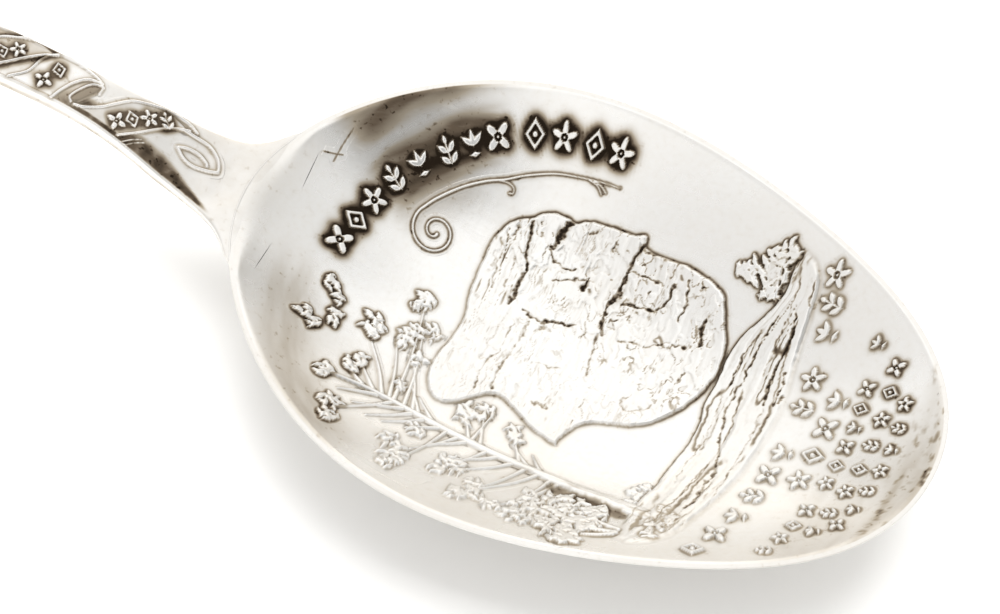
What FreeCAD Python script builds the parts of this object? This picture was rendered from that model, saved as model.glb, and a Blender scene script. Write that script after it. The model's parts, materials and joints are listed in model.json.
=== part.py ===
"""A silver souvenir teaspoon with a landscape struck in relief in its bowl.

Row frame, in millimetres: the spoon lies on its back on the plane z = 0, with +X from the handle's end
to the bowl's tip, +Y across, +Z up, and the origin under the middle of its bounding box.
Bowl frame, for everything inside the bowl: the same axes, with the origin at the middle of the bowl.
"""

import FreeCAD
import Part
import math
import os

Vector = FreeCAD.Vector

doc = FreeCAD.newDocument("souvenir_spoon")

# ---------------------------------------------------------------------------------------------
# Driving dimensions
# ---------------------------------------------------------------------------------------------

sheet = doc.addObject("Spreadsheet::Sheet", "Dimensions")

DIMENSIONS = [
    ("overall_length", 146.0, "handle end to bowl tip"),
    ("bowl_length", 47.0, "tip to neck, over the rim"),
    ("bowl_beam", 30.56, "twice the sine amplitude of the outline"),
    ("bowl_depth", 6.8, "rim plane to the floor of the hollow"),
    ("foot_wall", 0.9, "metal under the deepest point"),
    ("rim_width", 0.55, "flat rim between hollow and outside"),
    ("hollow_power", 2.3, "how flat the floor is: 2 is a parabola"),
    ("handle_height", 14.0, "room above the table for the handle's arch"),
    ("relief_height", 0.35, "how far the struck relief stands up in the bowl"),
    ("handle_relief", 0.25, "how far the relief stands up on the handle"),
    ("drop_thickness", 0.5, "the drop under the bowl's heel"),
    ("edge_radius", 0.4, "rounding of the handle's long edges"),
    ("long_edge", 40.0, "an edge of the handle longer than this is rounded"),
    ("title_ring", 13.25, "radius of the upper row of ornaments"),
    ("title_size", 0.8, "half height of an ornament in the upper row"),
]

for row, (alias, value, meaning) in enumerate(DIMENSIONS, start=1):
    sheet.set(f"A{row}", alias)
    sheet.set(f"B{row}", str(value))
    sheet.set(f"C{row}", meaning)
    sheet.setAlias(f"B{row}", alias)
doc.recompute()


def size(alias):
    """The number in the cell with this alias."""
    return float(getattr(sheet, alias))


HALF_LENGTH = size("overall_length") / 2
BOWL_X = HALF_LENGTH - size("bowl_length") / 2  # middle of the bowl, in the row frame
NECK_X = HALF_LENGTH - size("bowl_length")  # where the bowl's outline crosses the axis
RIM_Z = size("bowl_depth") + size("foot_wall")
BOWL_X_RULE = "Dimensions.overall_length / 2 - Dimensions.bowl_length / 2"
RIM_Z_RULE = "Dimensions.bowl_depth + Dimensions.foot_wall"

# The bowl's outline is an ellipse whose width is skewed towards the neck by these three harmonics.
OUTLINE_SKEW = (-0.02, -0.02, 0.05)
OUTLINE_POINTS = 36

# The bowl is lofted through its own outline at these sizes. Each one's depth follows hollow_power.
LEVELS = (1.0, 0.94, 0.86, 0.75, 0.6, 0.43, 0.26, 0.1)

# The drop's outline, half of it, as (distance from the neck towards the tip, across).
DROP_PLAN = [(-1.0, 0.0), (1.5, 3.0), (5.5, 2.9), (9.5, 1.9), (11.5, 0.0)]

BLOCK_MARGIN = 1.0  # how far the cutting blocks reach past the metal

# Plan of the handle: distance from the neck towards the end, and half width there.
HANDLE_PLAN = [
    (-2.9, 7.25), (-1.5, 5.35), (-0.5, 4.15), (0.5, 3.35), (1.5, 2.9), (3.0, 2.55), (5.5, 2.2),
    (8.5, 1.8), (11.5, 1.66), (16.5, 1.7), (31.5, 2.0), (48.5, 2.5), (64.5, 3.2), (73.5, 4.4),
    (80.5, 6.2), (86.5, 7.0), (92.5, 6.1), (96.8, 3.9),
]

# Side view of the handle: distance from the neck, and height above the table, on top and underneath.
HANDLE_TOP = [
    (-3.5, 7.7), (-1.0, 7.72), (0.6, 7.82), (2.5, 8.32), (4.5, 9.15), (6.5, 10.15), (8.5, 11.0),
    (10.5, 11.7), (12.5, 12.2), (15.5, 12.55), (22.0, 12.85), (32.0, 12.5), (44.0, 11.2),
    (56.0, 9.2), (68.0, 6.6), (78.0, 4.15), (86.0, 2.45), (92.0, 1.65), (99.0, 1.4),
]
HANDLE_UNDER = [
    (93.0, 0.0), (91.0, 0.12), (86.0, 0.85), (78.0, 2.5), (68.0, 4.9), (56.0, 7.4), (44.0, 9.35),
    (32.0, 10.55), (22.0, 10.8), (15.5, 10.4), (10.5, 9.5), (7.0, 8.2), (5.0, 7.15), (3.0, 6.4),
    (1.0, 5.95), (-1.0, 5.8), (-3.5, 5.75),
]
STEM_START = 9.0  # distance from the neck where the shoulders end
STEM_FINISH = 72.0  # and where the stem opens into its end

# Outlines of the relief in the bowl frame, as (along, across).
BOULDER = [
    (-9.0, -4.2), (-8.55, 0.0), (-9.05, 4.4), (-8.7, 6.7), (-7.2, 8.15), (-5.5, 9.0), (-2.5, 9.5),
    (0.0, 9.7), (1.0, 8.95), (4.0, 8.8), (6.3, 8.0), (7.6, 5.1), (7.7, 3.7), (7.0, 1.1),
    (5.5, -1.1), (3.5, -2.3), (1.5, -3.1), (0.7, -5.3), (-1.5, -4.9), (-4.3, -3.7), (-5.6, -4.7),
    (-7.0, -5.95), (-8.3, -5.3),
]
LEDGE = [
    (7.4, -11.6), (7.25, -9.0), (7.6, -6.0), (8.1, -2.0), (8.1, 1.2), (8.05, 4.6), (9.2, 7.6),
    (9.75, 9.6), (10.1, 11.4), (11.3, 10.8), (12.1, 8.0), (12.5, 4.0), (12.5, 0.6), (12.0, -3.5),
    (11.0, -7.0), (9.8, -10.4), (8.4, -11.8),
]
BUSH = [
    (0.4, -12.4), (1.2, -10.8), (2.2, -9.3), (3.8, -9.1), (5.7, -9.5), (5.9, -10.5), (5.0, -11.4),
    (5.2, -12.7), (4.1, -13.5), (2.8, -12.9), (1.6, -13.2),
]
SHRUB = [
    (6.5, 9.6), (7.4, 10.3), (8.2, 11.3), (9.0, 11.5), (9.5, 10.6), (9.2, 9.4), (8.8, 8.4), (7.5, 8.9),
]

# The tree's trunk as (along, across, half width), from its foot to its top.
TRUNK = [
    (7.1, -8.3, 0.5), (2.0, -8.2, 0.34), (-4.0, -7.9, 0.26), (-9.0, -7.65, 0.17), (-13.2, -8.05, 0.08),
]

# Branches as (foot along, tip along, tip across). Each foot lies on the trunk.
BRANCHES = [
    (1.4, -0.2, -12.0), (0.2, -1.6, -10.9), (-1.8, -4.0, -9.9), (-4.9, -6.9, -9.2),
    (-5.7, -7.4, -10.4), (-7.6, -9.4, -9.7), (-8.8, -11.1, -9.5), (-10.2, -12.4, -9.1),
    (-0.4, -1.8, -6.3), (-3.6, -4.2, -5.9), (-4.8, -5.2, -6.5), (-8.0, -9.5, -4.4),
    (-9.0, -10.6, -0.8), (-10.2, -12.6, -4.0), (-11.4, -12.8, -6.9),
]
BRANCH_HALF_WIDTH = 0.13
BRANCH_GAP = 0.05  # between a branch's foot and the trunk

# Tufts of foliage and the loose sprigs above the tree, as (along, across, radius).
TUFTS = [
    (-0.6, -12.9, 0.7), (-2.2, -11.5, 0.8), (-4.3, -10.9, 0.8), (-7.5, -9.75, 0.45),
    (-7.7, -11.4, 0.85), (-2.3, -5.6, 0.5), (-4.5, -5.05, 0.65), (-5.7, -6.0, 0.5),
    (-9.75, -3.8, 0.5), (-9.8, -1.8, 0.6), (-10.95, 0.1, 0.6), (-11.5, -2.6, 0.6),
    (-13.2, -3.0, 0.75), (-12.9, -6.2, 0.55), (-13.9, -8.3, 0.4), (6.7, -6.8, 0.5),
]
SPRIGS = [
    (-12.5, -10.4, 0.8), (-12.1, -12.0, 0.6), (-16.6, -5.2, 0.8), (-15.3, -4.1, 0.5), (-15.9, -2.5, 0.7),
]
TUFT_LOBES = 5
TUFT_WAVE = 0.16
POINTS_PER_LOBE = 4

# The vine: an open curl, then a long stroke towards the tip.
CURL_CENTRE = (-12.4, 4.45)
CURL_TURNS = 1.55
CURL_START_RADIUS = 0.3
CURL_END_RADIUS = 1.55
CURL_END_ANGLE = math.radians(150)
CURL_POINTS = 20
VINE = [
    (-13.75, 5.2), (-13.1, 6.4), (-12.0, 7.6), (-10.8, 8.6), (-9.7, 9.25), (-8.6, 10.0), (-7.0, 10.8),
    (-5.5, 11.2), (-4.0, 11.4), (-2.7, 11.5),
]
VINE_HALF_WIDTH = 0.12

# The upper row of ornaments runs round a circle in two groups: (first angle, angle step, how many).
TITLE_CENTRE = (-4.0, 0.0)
TITLE_GROUPS = [(3.0, 7.8, 8), (67.8, 8.2, 4)]
TITLE_SLIMNESS = 0.6  # an ornament's width as a share of its height
ROW_SLIMNESS = 0.7

# The lower rows: (crest along, crest across, bending radius, half height, [across positions]).
LOWER_ROWS = [
    (13.75, 1.0, 37.0, 0.7, [-10.5, -8.4, -6.3, -4.3, -2.4, -0.6, 2.7, 4.6, 7.4, 9.0, 10.5]),
    (15.65, 1.0, 60.0, 0.7, [-2.3, -0.3, 1.7, 3.6]),
    (17.35, 0.5, 32.0, 0.5, [-8.9, -7.4, -6.0, -4.5, -2.1, -0.7, 0.7, 2.1, 3.4, 4.7, 7.4]),
    (18.85, 0.8, 28.0, 0.5, [-6.2, -4.4, -2.5, -0.7, 1.1, 2.9, 4.7, 6.2]),
    (20.15, 0.5, 18.0, 0.45, [-5.3, -3.8, -2.2, -0.6, 1.0, 2.5, 4.1]),
]

# Ribbon folds on the handle, as (distance from the neck, across).
RIBBON_UPPER = [
    (14.9, -1.2), (14.2, 0.1), (13.4, 1.2), (12.0, 1.25), (11.0, 0.9), (12.1, 0.2), (12.5, -1.25),
    (13.6, -1.3),
]
RIBBON_LOWER = [
    (10.4, -0.95), (8.9, 0.1), (7.3, 1.35), (5.9, 1.85), (4.4, 1.7), (5.6, 0.9), (6.8, -0.2),
    (8.1, -1.3), (9.6, -1.2),
]
LEAF_LOOP = [(4.7, -0.1), (3.3, 0.55), (1.7, 0.3), (2.9, -0.6)]
RIBBON_BEADS = [(13.0, -0.6), (13.0, 0.4), (8.3, -0.55), (7.6, 0.05), (6.7, 0.7), (5.7, 1.25)]
BEAD_RADIUS = 0.3
HANDLE_FOLDS = [20.0, 29.0, 38.0, 47.0, 56.0, 65.0]  # where the ribbon crosses the hidden stem
FOLD_HALF_LENGTH = 2.9
FOLD_HALF_WIDTH = 1.2
FOLD_SLANT = 1.1
FOLD_LAP = 1.5  # how much shorter a fold's far side is

# The handle's end: a bordered oval with a rosette and four leaves.
END_CENTRE = 86.0
BORDER_LENGTH, BORDER_WIDTH, BORDER_BAND = 9.6, 5.6, 0.45
ROSETTE_RADIUS, ROSETTE_LOBES, ROSETTE_WAVE = 1.9, 8, 0.2
END_LEAVES = [(-5.2, 0.0, 0.0), (5.2, 0.0, 0.0), (0.0, 3.6, 90.0), (0.0, -3.6, 90.0)]
LEAF_LENGTH, LEAF_WIDTH = 1.6, 0.7


# ---------------------------------------------------------------------------------------------
# Curves
# ---------------------------------------------------------------------------------------------


def open_curve(points):
    """A smooth curve through plane points."""
    curve = Part.BSplineCurve()
    curve.interpolate([Vector(x, y, 0) for x, y in points])
    return curve


def closed_curve(points):
    """A smooth closed curve through plane points."""
    curve = Part.BSplineCurve()
    curve.interpolate([Vector(x, y, 0) for x, y in points], PeriodicFlag=True)
    return curve


def polygon(points):
    """The straight sides of a closed polygon."""
    corners = [Vector(x, y, 0) for x, y in points]
    return [Part.LineSegment(a, b) for a, b in zip(corners, corners[1:] + corners[:1])]


def bowl_outline(scale, inset):
    """The bowl's outline about its middle, drawn in by inset and then scaled."""
    points = []
    for i in range(OUTLINE_POINTS):
        t = 2 * math.pi * i / OUTLINE_POINTS
        skew = 1 + sum(k * math.cos(n * t) for n, k in enumerate(OUTLINE_SKEW, start=1))
        along = (size("bowl_length") / 2 - inset) * math.cos(t)
        across = (size("bowl_beam") / 2 - inset) * math.sin(t) * skew
        points.append((scale * along, scale * across))
    return closed_curve(points)


def lobed(centre, radius, lobes, wave):
    """A closed curve with rounded lobes, for tufts, sprigs and the rosette."""
    points = []
    count = POINTS_PER_LOBE * lobes
    for i in range(count):
        a = 2 * math.pi * i / count
        r = radius * (1 + wave * math.cos(lobes * a)) / (1 + wave)
        points.append((centre[0] + r * math.cos(a), centre[1] + r * math.sin(a)))
    return closed_curve(points)


def lozenge(centre, length, width, turn):
    """A diamond with its length at an angle of turn degrees from the first axis."""
    c, s = math.cos(math.radians(turn)), math.sin(math.radians(turn))
    corners = [(length, 0), (0, width), (-length, 0), (0, -width)]
    return polygon([(centre[0] + u * c - v * s, centre[1] + u * s + v * c) for u, v in corners])


def ribbon(points, half_widths):
    """The two sides and two ends of a band along a centreline."""
    left, right = [], []
    for i, (x, y) in enumerate(points):
        before, after = points[max(i - 1, 0)], points[min(i + 1, len(points) - 1)]
        run = Vector(after[0] - before[0], after[1] - before[1], 0).normalize()
        left.append((x - run.y * half_widths[i], y + run.x * half_widths[i]))
        right.append((x + run.y * half_widths[i], y - run.x * half_widths[i]))
    ends = [(left[0], right[0]), (left[-1], right[-1])]
    caps = [Part.LineSegment(Vector(*a, 0), Vector(*b, 0)) for a, b in ends]
    return [open_curve(left), open_curve(right)] + caps


def handle_x(distance):
    """Row-frame X of a point at a distance from the neck towards the handle's end."""
    return NECK_X - distance


# ---------------------------------------------------------------------------------------------
# Features
# ---------------------------------------------------------------------------------------------


def origin_plane(body, role):
    return next(f for f in body.Origin.OriginFeatures if f.Role == role)


def body_sketch(body, name, role, geometry):
    """A sketch on one of the body's own origin planes."""
    sketch = body.newObject("Sketcher::SketchObject", name)
    sketch.AttachmentSupport = [(origin_plane(body, role), "")]
    sketch.MapMode = "FlatFace"
    sketch.addGeometry(geometry, False)
    return sketch


def lofted_form(name, depth_rule, inset, lift_rule):
    """A solid with the bowl's form: its outline at each level, lofted from the rim down to the foot."""
    body = doc.addObject("PartDesign::Body", name)
    power = "Dimensions.hollow_power"
    sketches = []
    for number, scale in enumerate(LEVELS):
        sketch = body_sketch(body, f"{name}_level_{number}", "XY_Plane", [bowl_outline(scale, inset)])
        fall = f"({depth_rule}) * (1 - pow({scale}; {power})) / (1 - pow({LEVELS[-1]}; {power}))"
        sketch.setExpression("AttachmentOffset.Base.x", BOWL_X_RULE)
        sketch.setExpression("AttachmentOffset.Base.z", f"{RIM_Z_RULE} - {fall} + {lift_rule}")
        sketches.append(sketch)
    loft = body.newObject("PartDesign::AdditiveLoft", f"{name}_loft")
    loft.Profile = (sketches[0], [""])
    loft.Sections = [(sketch, [""]) for sketch in sketches[1:]]
    return body


def padded_form(name, role, geometry, length_rule, midplane):
    """A sketch padded by a length that the sheet gives."""
    body = doc.addObject("PartDesign::Body", name)
    sketch = body_sketch(body, f"{name}_sketch", role, geometry)
    pad = body.newObject("PartDesign::Pad", f"{name}_pad")
    pad.Profile = (sketch, [""])
    pad.Midplane = midplane
    pad.setExpression("Length", length_rule)
    return body


def boolean(kind, name, base, tool):
    """Part::Cut or Part::Common of two objects."""
    result = doc.addObject(f"Part::{kind}", name)
    result.Base, result.Tool = base, tool
    return result


def block(name, low_x, high_x):
    """A box across the whole spoon between two places along it."""
    box = doc.addObject("Part::Box", name)
    box.Placement.Base = Vector(low_x, -size("bowl_beam"), -BLOCK_MARGIN)
    box.Length = high_x - low_x
    box.setExpression("Width", "Dimensions.bowl_beam * 2")
    box.setExpression("Height", f"Dimensions.handle_height + {2 * BLOCK_MARGIN}")
    return box


def stamped(name, layer, geometry, in_bowl):
    """Relief: the part of a thin layer on the struck surface that lies inside some outlines."""
    sketch = doc.addObject("Sketcher::SketchObject", f"{name}_sketch")
    sketch.addGeometry(geometry, False)
    if in_bowl:
        sketch.setExpression("Placement.Base.x", BOWL_X_RULE)
    prism = doc.addObject("Part::Extrusion", f"{name}_prism")
    prism.Base = sketch
    prism.DirMode = "Custom"
    prism.Dir = Vector(0, 0, 1)
    prism.Solid = True
    prism.setExpression("LengthFwd", "Dimensions.handle_height")
    return boolean("Common", name, layer, prism)


# ---------------------------------------------------------------------------------------------
# The blank: bowl, shoulders, stem and end
# ---------------------------------------------------------------------------------------------


def make_blank():
    """The struck metal without its relief, and the bodies that the relief is cut from."""
    depth_rule = "Dimensions.bowl_depth"
    rim = size("rim_width")
    outer = lofted_form("bowl_outside", RIM_Z_RULE, 0.0, "0")
    hollow = lofted_form("bowl_hollow", depth_rule, rim, "0")
    lifted = lofted_form("hollow_lifted", depth_rule, rim, "Dimensions.relief_height")
    lowered = lofted_form("outside_lowered", RIM_Z_RULE, 0.0, "-Dimensions.drop_thickness")

    bowl = boolean("Cut", "bowl", outer, hollow)
    bowl_layer = boolean("Cut", "bowl_relief_layer", hollow, lifted)

    upper = [(handle_x(d), w) for d, w in HANDLE_PLAN]
    lower = [(x, -w) for x, w in reversed(upper)]
    plan = [open_curve(upper + [(-HALF_LENGTH, 0.0)] + lower)]
    plan.append(Part.LineSegment(Vector(*lower[-1], 0), Vector(*upper[0], 0)))
    plan_form = padded_form("handle_plan", "XY_Plane", plan, "Dimensions.handle_height", False)

    top = [(handle_x(d), z) for d, z in HANDLE_TOP]
    under = [(handle_x(d), z) for d, z in HANDLE_UNDER]
    end_foot = (-HALF_LENGTH, 0.0)
    side = [open_curve(top), open_curve(under)]
    for a, b in ((top[-1], end_foot), (end_foot, under[0]), (under[-1], top[0])):
        side.append(Part.LineSegment(Vector(*a, 0), Vector(*b, 0)))
    side_form = padded_form("handle_side", "XZ_Plane", side, "Dimensions.bowl_beam", True)

    square = boolean("Common", "square_handle", plan_form, side_form)
    doc.recompute()
    handle = doc.addObject("Part::Fillet", "handle_form")
    handle.Base = square
    radius = size("edge_radius")
    long_edges = [i for i, e in enumerate(square.Shape.Edges, start=1) if e.Length > size("long_edge")]
    handle.Edges = [(i, radius, radius) for i in long_edges]
    shoulder_range = block("shoulder_range", handle_x(STEM_START), BOWL_X)
    stem_range = block("stem_range", handle_x(STEM_FINISH), handle_x(STEM_START))
    end_range = block("end_range", -HALF_LENGTH - BLOCK_MARGIN, handle_x(STEM_FINISH))
    neck = boolean("Cut", "neck", boolean("Common", "shoulder_form", handle, shoulder_range), outer)
    stem = boolean("Common", "stem", handle, stem_range)
    end = boolean("Common", "handle_end", handle, end_range)

    raised = [(x, z + size("handle_relief")) for x, z in top]
    band = [open_curve(top), open_curve(raised)]
    for k in (0, -1):
        band.append(Part.LineSegment(Vector(*top[k], 0), Vector(*raised[k], 0)))
    handle_layer = padded_form("handle_relief_layer", "XZ_Plane", band, "Dimensions.bowl_beam", True)

    tongue = [(NECK_X + u, v) for u, v in DROP_PLAN]
    tongue += [(x, -v) for x, v in reversed(tongue[1:-1])]
    tongue_form = padded_form("drop_plan", "XY_Plane", [closed_curve(tongue)], RIM_Z_RULE, False)
    drop_skin = boolean("Common", "drop_skin", lowered, tongue_form)
    drop_shell = boolean("Cut", "drop_shell", drop_skin, outer)
    drop = boolean("Cut", "heel_drop", drop_shell, handle)
    return [bowl, neck, stem, end, drop], bowl_layer, handle_layer


# ---------------------------------------------------------------------------------------------
# The relief
# ---------------------------------------------------------------------------------------------


def trunk_at(along):
    """(across, half width) of the trunk at a place along the bowl."""
    for (x0, y0, w0), (x1, y1, w1) in zip(TRUNK, TRUNK[1:]):
        if x1 <= along <= x0:
            share = (x0 - along) / (x0 - x1)
            return y0 + share * (y1 - y0), w0 + share * (w1 - w0)
    raise ValueError(f"the trunk has no place at {along}")


def branch(foot, tip_along, tip_across):
    """A thin spike from just beside the trunk to the branch's tip."""
    across, half_width = trunk_at(foot)
    side = 1 if tip_across > across else -1
    start = Vector(foot, across + side * (half_width + BRANCH_GAP), 0)
    tip = Vector(tip_along, tip_across, 0)
    normal = Vector(-(tip - start).y, (tip - start).x, 0).normalize() * BRANCH_HALF_WIDTH
    return polygon([tuple(p)[:2] for p in (start + normal, start - normal, tip - normal / 2, tip + normal / 2)])


def vine_points():
    """The curl's points, wound outwards, then the long stroke's."""
    points = []
    for i in range(CURL_POINTS):
        share = i / CURL_POINTS
        angle = CURL_END_ANGLE + 2 * math.pi * CURL_TURNS * (1 - share)
        radius = CURL_START_RADIUS + (CURL_END_RADIUS - CURL_START_RADIUS) * share
        points.append((CURL_CENTRE[0] + radius * math.cos(angle), CURL_CENTRE[1] + radius * math.sin(angle)))
    return points + VINE


def title_ornaments():
    """Diamonds round the upper arc, each turned to face its centre."""
    shapes = []
    for first, step, count in TITLE_GROUPS:
        for i in range(count):
            a = math.radians(first + i * step)
            ring = size("title_ring")
            place = (TITLE_CENTRE[0] - ring * math.cos(a), TITLE_CENTRE[1] + ring * math.sin(a))
            turn = 180 - math.degrees(a)
            shapes += lozenge(place, size("title_size"), TITLE_SLIMNESS * size("title_size"), turn)
    return shapes


def row_ornaments(crest_along, crest_across, bend, half_height, places):
    """Diamonds along one bent row."""
    shapes = []
    for across in places:
        sag = bend - math.sqrt(bend**2 - (across - crest_across) ** 2)
        turn = math.degrees(math.asin((across - crest_across) / bend))
        shapes += lozenge((crest_along - sag, across), half_height, ROW_SLIMNESS * half_height, turn)
    return shapes


def make_bowl_relief(layer):
    """Every raised figure in the bowl."""
    pieces = [
        stamped("boulder_relief", layer, [closed_curve(BOULDER)], True),
        stamped("ledge_relief", layer, [closed_curve(LEDGE)], True),
        stamped("bush_relief", layer, [closed_curve(BUSH)], True),
        stamped("shrub_relief", layer, [closed_curve(SHRUB)], True),
    ]
    trunk = ribbon([(x, y) for x, y, _ in TRUNK], [w for _, _, w in TRUNK])
    pieces.append(stamped("tree_trunk_relief", layer, trunk, True))
    branches = [side for foot, along, across in BRANCHES for side in branch(foot, along, across)]
    pieces.append(stamped("tree_branches_relief", layer, branches, True))
    tufts = [lobed((x, y), r, TUFT_LOBES, TUFT_WAVE) for x, y, r in TUFTS]
    pieces.append(stamped("tree_foliage_relief", layer, tufts, True))
    sprigs = [lobed((x, y), r, TUFT_LOBES, TUFT_WAVE) for x, y, r in SPRIGS]
    pieces.append(stamped("loose_sprigs_relief", layer, sprigs, True))
    points = vine_points()
    vine = ribbon(points, [VINE_HALF_WIDTH] * len(points))
    pieces.append(stamped("vine_scroll_relief", layer, vine, True))
    pieces.append(stamped("title_ornaments", layer, title_ornaments(), True))
    for number, row in enumerate(LOWER_ROWS, start=1):
        pieces.append(stamped(f"lower_ornaments_{number}", layer, row_ornaments(*row), True))
    return pieces


def make_handle_relief(layer):
    """Every raised figure on the handle."""

    def placed(points):
        return [(handle_x(d), y) for d, y in points]

    pieces = [
        stamped("ribbon_upper_relief", layer, [closed_curve(placed(RIBBON_UPPER))], False),
        stamped("ribbon_lower_relief", layer, [closed_curve(placed(RIBBON_LOWER))], False),
        stamped("leaf_loop_relief", layer, [closed_curve(placed(LEAF_LOOP))], False),
    ]
    folds = []
    for number, middle in enumerate(HANDLE_FOLDS):
        slant = FOLD_SLANT if number % 2 else -FOLD_SLANT
        low = [(middle + FOLD_HALF_LENGTH, -FOLD_HALF_WIDTH), (middle + slant, -FOLD_HALF_WIDTH)]
        high = [(middle - FOLD_HALF_LENGTH, FOLD_HALF_WIDTH), (middle - slant + FOLD_LAP, FOLD_HALF_WIDTH)]
        folds += polygon(placed(low + high))
    pieces.append(stamped("stem_ribbon_relief", layer, folds, False))

    inner = (BORDER_LENGTH - BORDER_BAND, BORDER_WIDTH - BORDER_BAND)
    rings = []
    for length, width in ((BORDER_LENGTH, BORDER_WIDTH), inner):
        centre = Vector(handle_x(END_CENTRE), 0, 0)
        rings.append(Part.Ellipse(centre, length, width))
    pieces.append(stamped("end_border_relief", layer, rings, False))
    rosette = lobed((handle_x(END_CENTRE), 0), ROSETTE_RADIUS, ROSETTE_LOBES, ROSETTE_WAVE)
    pieces.append(stamped("end_rosette_relief", layer, [rosette], False))
    leaves = []
    for along, across, turn in END_LEAVES:
        leaves += lozenge((handle_x(END_CENTRE) - along, across), LEAF_LENGTH, LEAF_WIDTH, turn)
    pieces.append(stamped("end_leaves_relief", layer, leaves, False))
    return pieces


# ---------------------------------------------------------------------------------------------
# Build, check and write
# ---------------------------------------------------------------------------------------------

blank, bowl_layer, handle_layer = make_blank()
subparts = blank + make_bowl_relief(bowl_layer) + make_handle_relief(handle_layer)
doc.recompute()

for item in doc.Objects:
    if {"Invalid", "Error"} & set(item.State):
        raise RuntimeError(f"{item.Name} failed: {item.State}")

os.makedirs("parts", exist_ok=True)
for item in subparts:
    item.Label = item.Name
    if item.Shape.isNull() or not item.Shape.isValid() or not item.Shape.Solids:
        raise RuntimeError(f"{item.Label} has no valid solid")
    item.Shape.exportStep(f"parts/{item.Label}.step")
    print(f"{item.Label}: {len(item.Shape.Solids)} solids, {item.Shape.Volume:.2f} mm3")
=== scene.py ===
"""Looks for a silver souvenir teaspoon with a landscape struck in relief in its bowl.

Everything is worked out in millimetres in the bowl frame: origin on the table under the bowl's middle, +X to
the bowl's tip and +Y across. Meshes are written in metres in the frame's own axes.
"""

import json
import math

import bpy
import numpy as np
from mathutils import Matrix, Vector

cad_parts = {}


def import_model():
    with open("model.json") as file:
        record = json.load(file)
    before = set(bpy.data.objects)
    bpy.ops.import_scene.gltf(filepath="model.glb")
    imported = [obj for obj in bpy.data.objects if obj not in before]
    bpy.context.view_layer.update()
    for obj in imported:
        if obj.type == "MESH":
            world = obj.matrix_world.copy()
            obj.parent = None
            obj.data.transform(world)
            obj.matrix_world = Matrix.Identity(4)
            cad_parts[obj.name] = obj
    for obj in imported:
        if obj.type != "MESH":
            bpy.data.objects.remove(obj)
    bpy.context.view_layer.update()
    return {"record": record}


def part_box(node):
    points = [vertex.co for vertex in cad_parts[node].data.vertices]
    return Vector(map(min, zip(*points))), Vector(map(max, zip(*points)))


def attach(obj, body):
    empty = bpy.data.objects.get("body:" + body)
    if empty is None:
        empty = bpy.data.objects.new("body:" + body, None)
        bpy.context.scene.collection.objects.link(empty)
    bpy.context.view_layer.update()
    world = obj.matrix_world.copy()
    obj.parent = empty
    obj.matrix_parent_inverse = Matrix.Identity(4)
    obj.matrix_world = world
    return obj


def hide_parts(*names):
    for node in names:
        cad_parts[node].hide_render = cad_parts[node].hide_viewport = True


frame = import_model()

MM = 0.001

# --- Sizes of the spoon, read from the frame where it gives them ---

BOWL_LOW, BOWL_HIGH = (np.array(corner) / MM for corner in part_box("bowl"))
MIDDLE_X = (BOWL_LOW[0] + BOWL_HIGH[0]) / 2
BOWL_A = (BOWL_HIGH[0] - BOWL_LOW[0]) / 2
RIM_Z = BOWL_HIGH[2]
HANDLE_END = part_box("handle_end")[0][0] / MM - MIDDLE_X

OUTLINE_SKEW = (-0.02, -0.02, 0.05)  # harmonics that make the ellipse egg-shaped
FOOT_WALL = 0.9
RIM_WIDTH = 0.55
RIM_ROUND = 0.18  # rounding of the rim's two edges
WALL_POWER = 2.3
FOOT_LEVEL = 0.1  # the outline's scale at which the wall has come down to the flat foot
TURN = np.linspace(-np.pi, np.pi, 1441)


def skew(t):
    """How much wider than an ellipse the egg-shaped outline is at parameter t."""
    return 1 + sum(k * np.cos(n * t) for n, k in enumerate(OUTLINE_SKEW, start=1))


BOWL_B = (BOWL_HIGH[1] - BOWL_LOW[1]) / 2 / (np.sin(TURN) * skew(TURN)).max()


def egg(t, inset=0.0):
    """The bowl's outline at parameter t, drawn in by inset."""
    return (BOWL_A - inset) * np.cos(t), (BOWL_B - inset) * np.sin(t) * skew(t)


def bowl_scale(x, y, inset):
    """How far out a point is: 0 at the middle and 1 on the outline."""
    ox, oy = egg(TURN, inset)
    reach = np.interp(np.arctan2(y, x), np.arctan2(oy, ox), np.hypot(ox, oy))
    return np.hypot(x, y) / reach


def wall_z(scale, depth):
    """Height of a bowl wall of this depth where the outline has this scale."""
    share = (scale**WALL_POWER - FOOT_LEVEL**WALL_POWER) / (1 - FOOT_LEVEL**WALL_POWER)
    return RIM_Z - depth * (1 - np.maximum(share, 0))


def hollow(x, y):
    """Height of the bowl's inside, and of its rim plane outside that."""
    return wall_z(np.minimum(bowl_scale(x, y, RIM_WIDTH), 1), RIM_Z - FOOT_WALL)


def outside(x, y):
    """Height of the bowl's back."""
    return wall_z(np.minimum(bowl_scale(x, y, 0), 1), RIM_Z)


NECK_BLEND = 0.07  # the hollow's edge is rounded over this share of the outline where the neck joins


def rounded_hollow(x, y):
    """The hollow with its upper edge rounded over, as it is in front of the neck."""
    scale = bowl_scale(x, y, RIM_WIDTH)
    slope = 0.97 * WALL_POWER * (RIM_Z - FOOT_WALL)
    over = np.clip(1 + NECK_BLEND - scale, 0, None)
    soft = RIM_Z - slope * over**2 / (4 * NECK_BLEND)
    return np.where(scale < 1 - NECK_BLEND, hollow(x, y), soft)


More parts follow.
